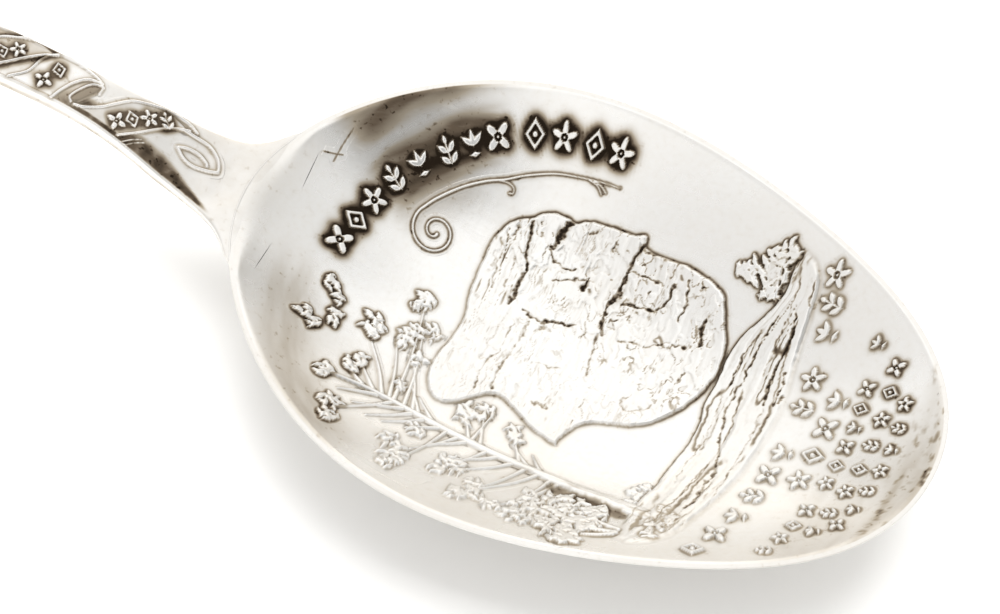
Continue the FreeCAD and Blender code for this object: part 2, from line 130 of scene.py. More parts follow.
# Handle: distance from the neck, half width, top and underside, continuing the bowl's own outline.
NECK = -BOWL_A
PLAN_STATIONS = np.array([
    (-3.2, 7.55), (-2.9, 7.2), (-2.3, 6.45), (-1.5, 5.35), (-0.5, 4.15), (0.5, 3.35), (1.5, 2.9),
    (3, 2.55), (5.5, 2.2), (8.5, 1.8), (11.5, 1.66), (16.5, 1.7), (31.5, 2), (48.5, 2.5),
    (64.5, 3.2), (73.5, 4.4), (80.5, 6.2), (86.5, 7),
])
END_MIDDLE, END_LENGTH, END_HALF = 87.5, 11.5, 7.0  # the handle's end is half an ellipse from here on
END_ANGLES = np.append(np.linspace(0.1, 1.5, 15), 1.53)
END_STATIONS = np.column_stack([END_MIDDLE + END_LENGTH * np.sin(END_ANGLES), END_HALF * np.cos(END_ANGLES)])
PLAN_STATIONS = np.vstack([PLAN_STATIONS, END_STATIONS])
TOP_STATIONS = np.array([
    (-3.5, 7.7), (-1, 7.72), (0.6, 7.82), (2.5, 8.32), (4.5, 9.15), (6.5, 10.15), (8.5, 11),
    (10.5, 11.7), (12.5, 12.2), (15.5, 12.55), (22, 12.85), (32, 12.5), (44, 11.2),
    (56, 9.2), (68, 6.6), (78, 4.15), (86, 2.45), (92, 1.65), (99, 1.4),
])
UNDER_STATIONS = np.array([
    (-3.5, 5.75), (-1, 5.8), (1, 5.95), (3, 6.4), (5, 7.15), (7, 8.2), (10.5, 9.5),
    (15.5, 10.4), (22, 10.8), (32, 10.55), (44, 9.35), (56, 7.4), (68, 4.9),
    (78, 2.5), (86, 0.85), (91, 0.12), (93, 0), (99, 0),
])


def through(stations, d):
    """A smooth curve through stations, by cubic Hermite pieces with limited slopes."""
    xs, ys = stations[:, 0], stations[:, 1]
    steps = np.diff(ys) / np.diff(xs)
    slopes = np.concatenate([[steps[0]], (steps[1:] + steps[:-1]) / 2, [steps[-1]]])
    slopes[1:-1][steps[1:] * steps[:-1] <= 0] = 0
    i = np.clip(np.searchsorted(xs, d) - 1, 0, len(xs) - 2)
    run = xs[i + 1] - xs[i]
    u = np.clip((d - xs[i]) / run, 0, 1)
    part = ys[i] * (2 * u**3 - 3 * u**2 + 1) + ys[i + 1] * (3 * u**2 - 2 * u**3)
    return part + run * (slopes[i] * (u**3 - 2 * u**2 + u) + slopes[i + 1] * (u**3 - u**2))


def half_width(x):
    return through(PLAN_STATIONS, NECK - x)


def handle_crest(x):
    return through(TOP_STATIONS, NECK - x)


EDGE_DROP = 0.35


def handle_edge(x):
    """Level of the handle's side edge, where its top and its belly meet."""
    top, under = handle_crest(x), through(UNDER_STATIONS, NECK - x)
    return np.minimum(top - EDGE_DROP, (top + under) / 2 + 0.3)


def handle_surface(x, y):
    """Height of the handle's top without its relief."""
    side = np.clip(np.abs(y) / half_width(x), 0, 1)
    edge = handle_edge(x)
    return edge + (handle_crest(x) - edge) * (1 - side**6) ** (1 / 6)


def neck_surface(x, y):
    """Top of the metal where the bowl and the handle run together."""
    beyond = ramp(bowl_scale(x, y, RIM_WIDTH), 0.97, 1.12)
    return rounded_hollow(x, y) + (handle_surface(x, y) - RIM_Z) * beyond


# --- Numbers on grids ---


def ramp(value, low, high):
    """0 below low, 1 above high, smooth between."""
    u = np.clip((value - low) / (high - low), 0, 1)
    return u * u * (3 - 2 * u)


def highest(*fields):
    return np.maximum.reduce(fields)


def between(table, i, j, f, g):
    """Bilinear interpolation in a table that repeats, f and g of the way past its entry (i, j)."""
    m, n = table.shape
    near, far = (table[i % m, k % n] * (1 - f) + table[(i + 1) % m, k % n] * f for k in (j, j + 1))
    return near * (1 - g) + far * g


def noise(x, y, cell_x, cell_y, seed):
    """Smooth value noise from -1 to 1, with cells of the given size."""
    table = np.random.default_rng(seed).uniform(-1, 1, (256, 256))
    u, v = x / cell_x + 64, y / cell_y + 64
    i, j = np.floor(u).astype(int), np.floor(v).astype(int)
    return between(table, i, j, ramp(u - i, 0, 1), ramp(v - j, 0, 1))


def rough_noise(x, y, cell_x, cell_y, seed, octaves=3):
    """Noise with finer and finer layers on top."""
    total = 0
    for k in range(octaves):
        total = total + noise(x, y, cell_x / 2**k, cell_y / 2**k, seed + k) / 2**k
    return total / (2 - 2.0 ** (1 - octaves))


def curve(points, closed=False, per=8):
    """Points on a Catmull-Rom spline through points. Any further columns are carried along."""
    p = np.array(points, float)
    if closed:
        p = np.vstack([p[-1], p, p[0], p[1]])
    else:
        p = np.vstack([2 * p[0] - p[1], p, 2 * p[-1] - p[-2]])
    u = np.linspace(0, 1, per, endpoint=False)[:, None]
    spans = []
    for a, b, c, d in zip(p[:-3], p[1:-2], p[2:-1], p[3:]):
        square, cube = 2 * a - 5 * b + 4 * c - d, 3 * b - a - 3 * c + d
        spans.append(0.5 * (2 * b + (c - a) * u + square * u**2 + cube * u**3))
    result = np.vstack(spans)
    return result if closed else np.vstack([result, p[-2]])


STEP = 0.06  # spacing of the grids on which the relief is worked out


def blur(field, sigma):
    """Gaussian blur of a field on a grid, sigma in millimetres."""
    reach = int(3 * sigma / STEP) + 1
    kernel = np.exp(-0.5 * (np.arange(-reach, reach + 1) * STEP / sigma) ** 2)
    kernel /= kernel.sum()
    for _ in range(2):
        padded = np.pad(field, [(reach, reach), (0, 0)], mode="edge")
        field = sum(k * padded[n:n + len(field)] for n, k in enumerate(kernel)).T
    return field


GRIME_LIMIT = 0.6  # darkest that a place gets just from being low
CAVITY_REACH = 0.17  # how far round a place its surroundings count


class Canvas:
    """A grid over part of the struck surface. Heights are millimetres, darkness is 0 to 1."""

    def __init__(self, low, high, surface):
        self.low, self.surface = low, surface
        spans = [np.arange(a, b + STEP / 2, STEP) for a, b in zip(low, high)]
        self.x, self.y = np.meshgrid(*spans, indexing="ij")
        self.allowed = np.ones(self.x.shape, bool)
        self.figures = {}

    def window(self, points, margin):
        """The slice of the grid round some points."""
        low = (points[:, :2].min(axis=0) - margin - self.low) / STEP
        high = (points[:, :2].max(axis=0) + margin - self.low) / STEP
        return tuple(slice(max(int(a), 0), max(int(b) + 2, 0)) for a, b in zip(low, high))

    def stroke(self, points, margin=0.6):
        """Distance to a polyline, at most the margin, and the polyline's third column there."""
        points = np.array(points, float)
        if points.shape[1] == 2:
            points = np.column_stack([points, np.zeros(len(points))])
        distance, third = np.full(self.x.shape, margin), np.zeros(self.x.shape)
        where = self.window(points, margin)
        x, y, best, value = self.x[where], self.y[where], distance[where], third[where]
        value[:] = points[0, 2]
        for a, b in zip(points[:-1], points[1:]):
            run = b - a
            square = max(run[0] ** 2 + run[1] ** 2, 1e-12)
            u = np.clip(((x - a[0]) * run[0] + (y - a[1]) * run[1]) / square, 0, 1)
            gap = np.hypot(x - a[0] - u * run[0], y - a[1] - u * run[1])
            nearer = gap < best
            best[nearer] = gap[nearer]
            value[nearer] = (a[2] + u * run[2])[nearer]
        return distance, third

    def area(self, points, margin=1.0):
        """Signed distance to a closed polyline, at most the margin, and positive inside."""
        points = np.vstack([points, points[:1]])
        distance, _ = self.stroke(points, margin)
        where = self.window(points, margin)
        x, y = self.x[where], self.y[where]
        inside = np.zeros(self.x.shape, bool)
        for (ax, ay), (bx, by) in zip(points[:-1], points[1:]):
            if ay != by:
                inside[where] ^= ((ay > y) != (by > y)) & (x < (bx - ax) * (y - ay) / (by - ay) + ax)
        return np.where(inside, distance, -distance)

    def rib(self, points, height, extra, edge, per=5):
        """A raised line through points. Its half width is their third column and extra."""
        distance, width = self.stroke(curve(points, per=per))
        return height * ramp(width + extra - distance, 0, edge)

    def sample(self, field, x, y):
        """A field at any points, by bilinear interpolation. 0 off the grid."""
        u, v = (x - self.low[0]) / STEP, (y - self.low[1]) / STEP
        m, n = field.shape
        on = (u >= 0) & (v >= 0) & (u < m - 1) & (v < n - 1)
        i, j = np.clip(u.astype(int), 0, m - 2), np.clip(v.astype(int), 0, n - 2)
        return np.where(on, between(field, i, j, np.clip(u - i, 0, 1), np.clip(v - j, 0, 1)), 0)

    def rough(self, cell, seed, cell_y=None):
        """Rough noise all over the grid."""
        return rough_noise(self.x, self.y, cell, cell_y or cell, seed)

    def jagged(self, field, reach, seed):
        """A field with its shapes made ragged."""
        shift_x, shift_y = reach * self.rough(0.45, seed), reach * self.rough(0.45, seed + 7)
        return self.sample(field, self.x + shift_x, self.y + shift_y)

    def halo(self, height, reach, strength):
        """A ragged dark patch that follows a figure's outline."""
        near = blur((height > 0.02).astype(float), reach)
        ragged = 1 + 0.5 * self.rough(0.5, 81)
        return strength * np.clip(3.5 * near * ragged, 0, 1) * ramp(height, 0.12, 0.02)

    def add(self, node, height, dark=0.0, reach=0.1, strength=0.0):
        """Keeps a figure: its height above the ground, darkness drawn on it, and that of a halo."""
        self.figures[node] = (height, dark + self.halo(height, reach, strength))

    def finish(self, gain):
        """Works out darkness: what was drawn, and every place lower than its surroundings."""
        height, drawn = (highest(*fields) for fields in zip(*self.figures.values()))
        cavity, fine = (blur(height, sigma) - height for sigma in (CAVITY_REACH, CAVITY_REACH / 3))
        worn = 1 + 0.6 * self.rough(0.8, 5) + 0.35 * noise(self.x, self.y, 4.0, 4.0, 6)
        edges = gain * (np.maximum(cavity, 0) + 1.5 * np.maximum(fine, 0)) * worn
        self.patina_and_shade = np.clip(GRIME_LIMIT * (1 - np.exp(-edges / GRIME_LIMIT)) + drawn, 0, 1)


def surface_point(height, x, y, lift=0.0, steepest=9.0):
    """Points on a surface, raised by lift, and its unit normals there."""
    eps = 0.02
    slope_x = (height(x + eps, y) - height(x - eps, y)) / (2 * eps)
    slope_y = ((height(x, y + eps) - height(x, y - eps)) / (2 * eps)).clip(-steepest, steepest)
    normal = np.stack([-slope_x, -slope_y, np.ones_like(slope_x)], axis=-1)
    normal /= np.linalg.norm(normal, axis=-1, keepdims=True)
    return np.stack([x, y, height(x, y) + lift], axis=-1), normal


# --- The landscape in the bowl ---


def bowl_point(x, y):
    return surface_point(hollow, x, y)


bowl = Canvas((-20.4, -15.0), (21.6, 15.0), bowl_point)
X, Y = bowl.x, bowl.y

EDGE = 0.16  # width of a figure's sloping edge


def cracks(lines):
    """Depth, from 0 to 1, of ragged broken lines. Each is (half width, strength, points)."""
    total = np.zeros(X.shape)
    thick = 0.75 + 0.9 * bowl.rough(0.3, 44)
    for width, strength, points in lines:
        distance, _ = bowl.stroke(curve(points, per=5))
        total = np.maximum(total, strength * ramp(width * thick - distance, -0.03, 0.05))
    worn = 0.75 + 0.6 * bowl.rough(0.25, 46)
    return bowl.jagged(total, 0.2, 45) * np.clip(worn, 0, 1)


BOULDER = [
    (-8.75, -4.5), (-8.9, -3), (-8.5, 0), (-8.9, 2), (-9.05, 4), (-9.05, 5.5), (-8.75, 6.6),
    (-8.1, 7.6), (-7.25, 8.1), (-6.5, 8.75), (-5.5, 9), (-4.6, 8.9), (-4, 9.25), (-2.5, 9.5),
    (-1, 9.55), (0, 9.75), (0.25, 9.1), (1.25, 8.95), (3, 8.95), (4.75, 8.6), (6, 8.1),
    (6.4, 7.5), (7, 6.25), (7.55, 5.1), (7.7, 3.75), (7.55, 2.5), (7.1, 1.25), (6.4, 0),
    (5.5, -1.1), (4.25, -2), (2.75, -2.5), (1.5, -3.1), (0.9, -4), (0.6, -5), (0.5, -5.4),
    (-0.5, -5.2), (-1.5, -4.9), (-2.75, -4.25), (-4, -3.7), (-4.75, -3.9), (-5.5, -4.6),
    (-6.25, -5.5), (-7, -5.95), (-7.75, -5.9), (-8.4, -5.25),
]
BOULDER_CRACKS = [
    (0.1, 1, [(-6.35, 2.4), (-6.3, 3.6), (-6.3, 4.9), (-6.6, 5.8), (-6.9, 6.8), (-7.1, 7.8)]),
    (0.24, 1, [(-5.4, 6.9), (-5.2, 7.5), (-5, 8.2), (-4.75, 8.7)]),
    (0.1, 1, [(-5.5, 6.7), (-4.9, 6.3), (-4.1, 6.05), (-3.4, 6.3)]),
    (0.07, 0.8, [(-4.4, 5), (-3.6, 5.5), (-2.7, 5.9)]),
    (0.14, 1, [(-2.5, 5.3), (-2.4, 6.1)]),
    (0.1, 1, [(-5.3, 2.5), (-4.6, 2.35), (-3.9, 2.4), (-3.2, 2.6), (-2.4, 2.7), (-2, 3)]),
    (0.2, 0.9, [(-4, 2.3), (-3.7, 2.5)]),
    (0.13, 0.5, [(-4.2, 1.5), (-3.8, 1.9), (-3.3, 2)]),
    (0.06, 0.5, [(-3.2, -0.5), (-2.4, -0.4), (-1.5, -0.1)]),
    (0.2, 0.5, [(-1.9, -3.2), (-1.2, -3.15)]),
    (0.08, 0.6, [(-4.85, -3.4), (-4.95, -2), (-4.85, -0.5), (-4.75, 1), (-4.7, 2)]),
    (0.07, 0.55, [(-5.8, -4), (-5.9, -2.6), (-5.75, -1.2), (-5.5, -0.5), (-5.55, 0.8), (-5.4, 1.4)]),
    (0.07, 0.3, [(-6.4, -1.8), (-6.3, 0), (-6.2, 1.8)]),
    (0.07, 0.6, [(0.2, 0), (-0.1, 1.2), (-0.25, 2.2), (-0.4, 3)]),
    (0.17, 1, [(-0.2, 3.1), (-0.5, 4), (-0.55, 5), (-0.25, 5.9), (-0.2, 7.2), (-0.2, 8.5)]),
    (0.12, 1, [(-0.2, 8.5), (0.15, 9.1)]),
    (0.07, 0.8, [(0, 3.8), (0.45, 3.8)]),
    (0.07, 0.8, [(0, 4.25), (0.3, 4.3)]),
    (0.14, 1, [(0.2, 5.5), (1.2, 5.65), (2.4, 5.7)]),
    (0.1, 1, [(2.5, 5.8), (2.8, 6.4), (2.9, 7.7)]),
    (0.12, 0.9, [(0.2, 8.85), (1.5, 8.9), (2.9, 8.9)]),
    (0.06, 0.8, [(0.7, 6.5), (0.75, 7.2)]),
    (0.06, 0.8, [(0.6, 8), (0.9, 8.7)]),
    (0.06, 0.8, [(1.5, 6.1), (1.6, 6.7)]),
    (0.07, 0.8, [(0, 7.6), (1, 7.5), (1.6, 7.4), (2.2, 7.5)]),
    (0.06, 0.8, [(2.5, 8), (2.6, 8.8)]),
    (0.07, 0.9, [(4, 5.7), (4.05, 6.8), (3.85, 7.4), (3.75, 8.1)]),
    (0.18, 1, [(5.9, 4.6), (5.8, 5.3), (5.6, 6.1)]),
    (0.07, 0.7, [(0.9, 3.1), (2, 3.3), (2.9, 3.4), (3.5, 3.8), (4.1, 4.1), (5.1, 4.2)]),
    (0.12, 0.9, [(4.9, 4.1), (5.2, 4.15)]),
    (0.06, 0.5, [(3.3, -1.2), (2.95, -0.8), (3, -0.3), (3.3, 0.1)]),
    (0.06, 0.5, [(3.4, -1.2), (4.3, -0.7), (4.7, -0.2)]),
    (0.07, 0.6, [(0.55, -5.2), (0.7, -4.3), (0.7, -3.3)]),
    (0.11, 0.6, [(0.75, -2.1), (0.7, -1.5)]),
    (0.06, 0.5, [(-7.8, 3), (-8, 4.2), (-8.05, 5.6)]),
    (0.07, 0.6, [(-7.9, 6.5), (-7.7, 7.6)]),
    (0.06, 0.5, [(-7, 2.6), (-7.1, 4), (-7.3, 5.5)]),
    (0.08, 0.8, [(-1.7, 8.1), (-1.6, 8.9)]),
    (0.1, 0.8, [(-3.5, 8.6), (-3.1, 9)]),
    (0.08, 0.8, [(4.6, 8.1), (4.9, 8.2)]),
    (0.07, 0.6, [(5.6, 2), (5.8, 2.7)]),
    (0.06, 0.5, [(-1.3, 2.3), (-1.1, 2.9), (-1.4, 3.4)]),
]


def boulder():
    """A balanced rock: a raised slab with worn beds, open joints and broken plates."""
    inside = bowl.area(curve(BOULDER, closed=True, per=5), 4.0) + 0.06 * bowl.rough(0.5, 11)
    edge = ramp(inside, 0, EDGE)
    sway = 0.5 * bowl.rough(1.0, 13)
    beds = rough_noise(X + 0.5 * sway, Y, 0.34, 2.6, 12, 4)
    level = 2.6 * rough_noise(X + sway, Y - sway, 1.0, 1.7, 17, 4)
    step = level - np.floor(level)
    plates = np.floor(level) + ramp(step, 0, 0.22)
    blocky = 0.3 + 0.7 * ramp(Y + 0.5 * X, -1.0, 4.0)
    scarps = ramp(step, 0.2, 0.05) * ramp(bowl.rough(0.7, 21), -0.1, 0.3)
    open_lines = cracks(BOULDER_CRACKS)
    fine = ramp(np.abs(beds), 0.09, 0.0) * ramp(bowl.rough(1.3, 25), 0.0, 0.4)
    crumbled = np.clip(3 * blur(open_lines, 0.2), 0, 1) * bowl.rough(0.3, 27)
    cap = ramp(X, -6.2, -6.8)
    streaks = ramp(np.abs(noise(X + 0.08 * Y + 0.2 * sway, Y, 0.17, 2.4, 28)), 0.16, 0.0) * cap
    streaks = streaks * ramp(bowl.rough(0.5, 29, 1.3), -0.15, 0.3) * (0.4 + 0.6 * ramp(Y, 0, 6))
    top = 0.26 + 0.05 * ramp(inside, 0, 2.5) + 0.035 * beds + 0.03 * plates * blocky + 0.05 * crumbled
    height = edge * (top - 0.11 * open_lines - 0.015 * fine - 0.035 * streaks)
    dark = 0.9 * open_lines**1.3 + 0.2 * fine * (1 - cap) + 0.4 * scarps * blocky + 0.5 * streaks
    dark = np.clip(dark + 0.4 * np.clip(-crumbled, 0, 1), 0, 1)
    bowl.add("boulder_relief", height, edge * dark, 0.08, 0.08 + 0.32 * ramp(Y + 0.5 * X, -2.0, 5.0))


LEDGE_TOP = [
    (7.1, -11.5), (6.9, -9), (7.2, -6.5), (7.4, -6), (7.6, -4), (7.95, -2), (7.95, 0),
    (7.7, 1.25), (7.85, 3), (7.85, 5), (8.25, 6.25), (9, 7.5), (9.45, 8.5), (9.7, 9.25),
    (9.6, 10.5), (10, 11.5),
]
LEDGE_FOOT = [
    (11, 11), (11.75, 10), (12, 8), (12.25, 5.25), (12.55, 3), (12.55, 1),
    (12.25, -2), (11.75, -4.5), (11, -7), (10.5, -9), (9.75, -10.5), (9, -11.2), (8, -11.8),
]
LEDGE_CRACKS = [
    (0.07, 0.9, [(9.35, 0.5), (9.3, 2), (9.45, 4), (9.6, 6), (9.9, 7.6)]),
    (0.07, 0.9, [(8.85, 3), (8.8, 4.4), (8.95, 5.6)]),
    (0.11, 0.9, [(9.9, -7), (10.2, -6), (10.2, -4.5), (10.45, -3.5), (10.2, -2.3), (9.8, -1.2), (9.35, 0.5)]),
    (0.05, 0.7, [(9.1, -6.5), (9.5, -4.5), (9.8, -3)]),
    (0.06, 0.6, [(10.3, -9.3), (10.4, -7.9)]),
    (0.05, 0.7, [(11, -7.8), (11.1, -6.2), (11.2, -4), (11.35, -2), (11.5, 0.5), (11.4, 2)]),
    (0.11, 1, [(11.3, 2.2), (11.1, 3.2), (11.15, 5), (11.2, 6.5), (11, 8)]),
    (0.12, 0.9, [(11.9, 2.4), (11.9, 3.4), (11.85, 4.5)]),
    (0.1, 0.8, [(12.2, 2.6), (12.25, 3.2)]),
    (0.07, 0.8, [(11.5, 8.5), (11.3, 10)]),
    (0.05, 0.6, [(10.5, 4), (10.55, 6), (10.6, 8), (10.4, 10)]),
    (0.05, 0.6, [(8.4, -5), (8.6, -3), (8.7, -1)]),
    (0.05, 0.6, [(8.9, -2), (8.8, 0), (8.6, 2)]),
]


def ledge():
    """The shelf of bedded rock that the boulder stands on."""
    inside = bowl.area(np.vstack([curve(LEDGE_TOP, per=5), curve(LEDGE_FOOT, per=5)]))
    inside = inside + 0.08 * bowl.rough(0.6, 51)
    lines = curve(LEDGE_TOP), curve(LEDGE_FOOT)[::-1]
    upper, lower = (np.interp(Y, line[:, 1], line[:, 0]) for line in lines)
    share = (X - upper) / (lower - upper)
    slack = ramp(Y, -11.5, -7.0) * ramp(share, 1.0, 0.8) * ramp(Y, 11.6, 9.6)
    edge = ramp(inside, 0, EDGE + 0.4 * (1 - slack))
    wave = 0.05 * bowl.rough(1.2, 52, 2.5)
    beds = noise(share + wave, Y, 0.06, 5.0, 53)
    seams = ramp(np.abs(noise(share + wave, Y, 0.085, 4.0, 54)), 0.16, 0.0)
    seams = bowl.jagged(seams * ramp(bowl.rough(0.8, 58, 1.8), -0.3, 0.15), 0.13, 56)
    open_lines = cracks(LEDGE_CRACKS)
    top = 0.23 + 0.04 * beds + 0.02 * bowl.rough(0.3, 59, 0.6)
    height = edge * (top * (0.5 + 0.5 * slack) - 0.1 * open_lines - 0.05 * seams).clip(0)
    dark = np.clip(0.9 * open_lines**1.3 + 0.6 * seams * (0.5 + 0.5 * slack), 0, 1)
    outline = 0.35 * ramp(share, 0.3, 0.0) * ramp(Y, -8.0, -4.0)
    bowl.add("ledge_relief", height, edge * dark, 0.08, outline)


TRUNK = [
    (7.9, -8.45, 0.62), (7, -8.35, 0.55), (4.5, -8.3, 0.48), (2, -8.15, 0.36), (0, -8, 0.3),
    (-4, -7.85, 0.27), (-8, -7.7, 0.22), (-11, -7.75, 0.18), (-13.6, -8.2, 0.14),
]
# Branches, as (foot along, bend, tip along, tip across). The bend bows a branch outwards.
BRANCHES = [
    (2.1, 0.5, -0.3, -12.2), (1.5, 0.5, 0.4, -11.5), (0.6, 0.5, -1.9, -11.3), (-0.3, 0.4, -2.6, -12.2),
    (-1.2, 0.5, -3.6, -10.3), (-2.2, 0.5, -4.6, -9.9), (-3, 0.4, -4.9, -11), (-4.4, 0.4, -6.3, -9.6),
    (-5, 0.4, -7, -10.6), (-5.8, 0.5, -7.3, -12.2), (-6.3, 0.3, -8, -9.1), (-7.4, 0.5, -9.4, -9.6),
    (-8.2, 0.4, -10.4, -9.8), (-8.8, 0.3, -11.5, -9.4), (-9.6, 0.3, -12.2, -10.6), (-10.6, 0.2, -12.7, -9),
    (-0.3, 0.3, -1.9, -6.6), (-0.9, 0.4, -2.4, -5.6), (0.6, 0.2, -0.4, -6.8), (-3.6, 0.3, -4.3, -5.6),
    (-4.4, 0.3, -5.4, -5.9), (-4.2, 0.2, -3.9, -4.9), (-7.9, 0.4, -9.2, -5.8), (-8.3, 0.5, -9.8, -4.2),
    (-8.9, 0.6, -10.2, -2), (-9.6, 0.6, -10.9, -0.2), (-9.9, 0.5, -11.4, -3.2), (-10.4, 0.5, -12.6, -4.4),
    (-11, 0.3, -12.4, -6.3), (-11.7, 0.2, -13, -7), (-7, 0.3, -8.4, -6.4),
]


def tree():
    """Trunk and swept-up branches."""
    line = curve(TRUNK, per=5)
    distance, width = bowl.stroke(line, 1.0)
    bark = bowl.rough(1.6, 61, 0.16)
    side = np.clip(distance / np.maximum(width, 0.05), 0, 1)
    crest = (0.17 + 0.13 * ramp(width, 0.12, 0.4)) * (1 + 0.2 * bark * ramp(width, 0.15, 0.35))
    trunk = crest * np.sqrt(1 - side**2) * ramp(width - distance, -0.02, 0.06) * (distance < width)
    bowl.add("tree_trunk_relief", trunk, 0.25 * ramp(bark, 0.25, 0.6) * (trunk > 0) * ramp(width, 0.2, 0.35))

    height = np.zeros(X.shape)
    for foot, bend, tip_x, tip_y in BRANCHES:
        across = np.interp(-foot, -line[:, 0], line[:, 1])
        start = (foot, across + (0.15 if tip_y > across else -0.15), 0.14)
        middle = (foot + (tip_x - foot) * (0.5 - 0.2 * bend), across + (tip_y - across) * 0.5, 0.08)
        height = np.maximum(height, bowl.rib([start, middle, (tip_x, tip_y, 0.03)], 0.17, 0.05, 0.1))
    bowl.add("tree_branches_relief", height)


# Leafy clusters, as (along, across, radius).
TUFTS = [
    (-14.05, -8.3, 0.55), (-12.55, -10.4, 0.75), (-12.1, -11.5, 0.6), (-12.9, -6.6, 0.65),
    (-12.5, -5.9, 0.45), (-13.2, -3, 0.8), (-12.7, -3.7, 0.5), (-11, -2.9, 0.7), (-10.7, -2.2, 0.6),
    (-11, 0.2, 0.6), (-11.2, -0.4, 0.5), (-9.7, -1.7, 0.7), (-9.75, -3.9, 0.55), (-9.8, -6.4, 0.4),
    (-8.1, -10.8, 0.75), (-7.5, -12.4, 0.75), (-7.3, -11.4, 0.6), (-7.4, -8.9, 0.6), (-5.35, -6.2, 0.7),
    (-5.5, -5.6, 0.55), (-4.4, -5.1, 0.65), (-4.6, -10, 0.65), (-3.9, -10.4, 0.65), (-4.9, -11.1, 0.6),
    (-2.3, -5.6, 0.5), (-1.9, -6.2, 0.4), (-2.9, -12.6, 0.65), (-2, -12, 0.6), (-2.4, -11.2, 0.6),
    (-0.7, -12.4, 0.6), (0.8, -12.6, 0.75), (1.9, -12.4, 0.75), (1, -11.3, 0.8), (2, -11, 0.75),
    (1.2, -10.2, 0.6), (2.2, -9.8, 0.55), (6.7, -6.9, 0.5), (6.9, -7.5, 0.4), (7, -6.1, 0.3),
    (8.9, -10.3, 0.4), (9.2, -9.3, 0.5), (8.5, -9.2, 0.35), (9.5, -8.3, 0.45), (8.8, -7.6, 0.3),
]
SPRIGS = [
    (-16.8, -5.1, 0.5), (-16.1, -5.5, 0.4), (-15.2, -4.5, 0.32), (-15.3, -3.9, 0.3),
    (-16.2, -2.3, 0.48), (-15.6, -2.9, 0.4), (-16.6, -1.9, 0.25),
]
BUSH = [(3.3, -12.6, 0.9), (4.6, -12.9, 0.9), (3.3, -11.2, 1.1), (3.2, -9.9, 1), (4.8, -11.6, 0.9),
        (4.6, -10, 1), (5.4, -9.7, 0.7), (5.4, -10.9, 0.6), (4.2, -13.3, 0.6)]
BUSH_STEMS = [
    [(7.1, -10.6, 0.16), (5.8, -10.5, 0.12), (5, -10.2, 0.08)],
    [(7.1, -11, 0.18), (5.9, -11.3, 0.13), (5.1, -11.8, 0.08)],
    [(7, -11.2, 0.14), (6.2, -11.8, 0.1), (5.3, -12.2, 0.06)],
]
SHRUB = [(7, 9.7, 0.55), (7.9, 9.6, 0.7), (8.2, 10.4, 0.75), (8.9, 9.3, 0.8), (8.9, 10.3, 0.8),
         (9.1, 11.2, 0.6), (8.7, 8.7, 0.5), (6.55, 9.6, 0.3)]


def leafage(clusters, seed, height, leaf):
    """Clumps of overlapping leaves inside each cluster's circle, most of them pointing up the tree."""
    random = np.random.default_rng(seed)
    total = np.zeros(X.shape)
    for x, y, radius in clusters:
        count = int(5 + 15 * radius**2)
        for k in range(count):
            a = 2.4 * k + random.uniform(-0.8, 0.8)
            r = radius * math.sqrt((k + 0.5) / count) * random.uniform(0.8, 1.1)
            lx, ly = x + r * math.cos(a), y + r * math.sin(a)
            size = leaf * random.uniform(0.65, 1.35)
            where = bowl.window(np.array([(lx, ly)]), 2 * size)
            turn = math.pi + random.normal(0, 1.1)
            u = (X[where] - lx) * math.cos(turn) + (Y[where] - ly) * math.sin(turn)
            v = -(X[where] - lx) * math.sin(turn) + (Y[where] - ly) * math.cos(turn)
            blade = 1 - np.abs(u / size) - np.abs(v / (0.43 * size)) ** 1.3
            lift = height * random.uniform(0.65, 1.05)
            total[where] = np.maximum(total[where], ramp(blade, 0, 0.26) * lift)
    return bowl.jagged(total, 0.14, seed)


SHADE = [(1.9, -8.95), (3.2, -8.95), (5.0, -8.95), (6.6, -9.2)]  # blackened ground between bush and trunk


def plants():
    shady = ramp(X, -9.0, -13.0) + ramp(X, 7.5, 8.5)
    bowl.add("tree_foliage_relief", leafage(TUFTS, 71, 0.25, 0.38), 0, 0.12, 0.35 * shady)
    bowl.add("loose_sprigs_relief", leafage(SPRIGS, 72, 0.27, 0.34), 0, 0.14, 0.5)
    stems = [bowl.rib(points, 0.2, 0.03, 0.1) for points in BUSH_STEMS]
    bush = highest(leafage(BUSH, 73, 0.28, 0.42), *stems)
    distance, _ = bowl.stroke(curve(SHADE), 0.8)
    shade = 0.66 * ramp(distance + 0.25 * bowl.rough(0.4, 75), 0.6, 0.05)
    bowl.add("bush_relief", bush, shade * ramp(bush, 0.12, 0.02), 0.08, 0.25)
    bowl.add("shrub_relief", leafage(SHRUB, 74, 0.3, 0.42), 0, 0.08, 0.35)


CURL_CENTRE = (-12.4, 4.45)
CURL_TURNS = 1.5
CURL_RADII = (0.2, 1.55)
CURL_END_ANGLE = math.radians(150)
VINE = [(-13.1, 6.3), (-12, 7.6), (-10.8, 8.6), (-9.7, 9.25), (-8.6, 10), (-7, 10.8), (-5.5, 11.2),
        (-4, 11.45), (-2.7, 11.55)]
TENDRILS = [
    [(-10.1, 9), (-9.5, 9.15), (-9.05, 9.05), (-8.95, 8.75), (-9.2, 8.65)],
    [(-4.8, 11.3), (-4.2, 11.2), (-3.75, 10.85)],
    [(-4.5, 11.35), (-3.95, 11.25), (-3.5, 11)],
]


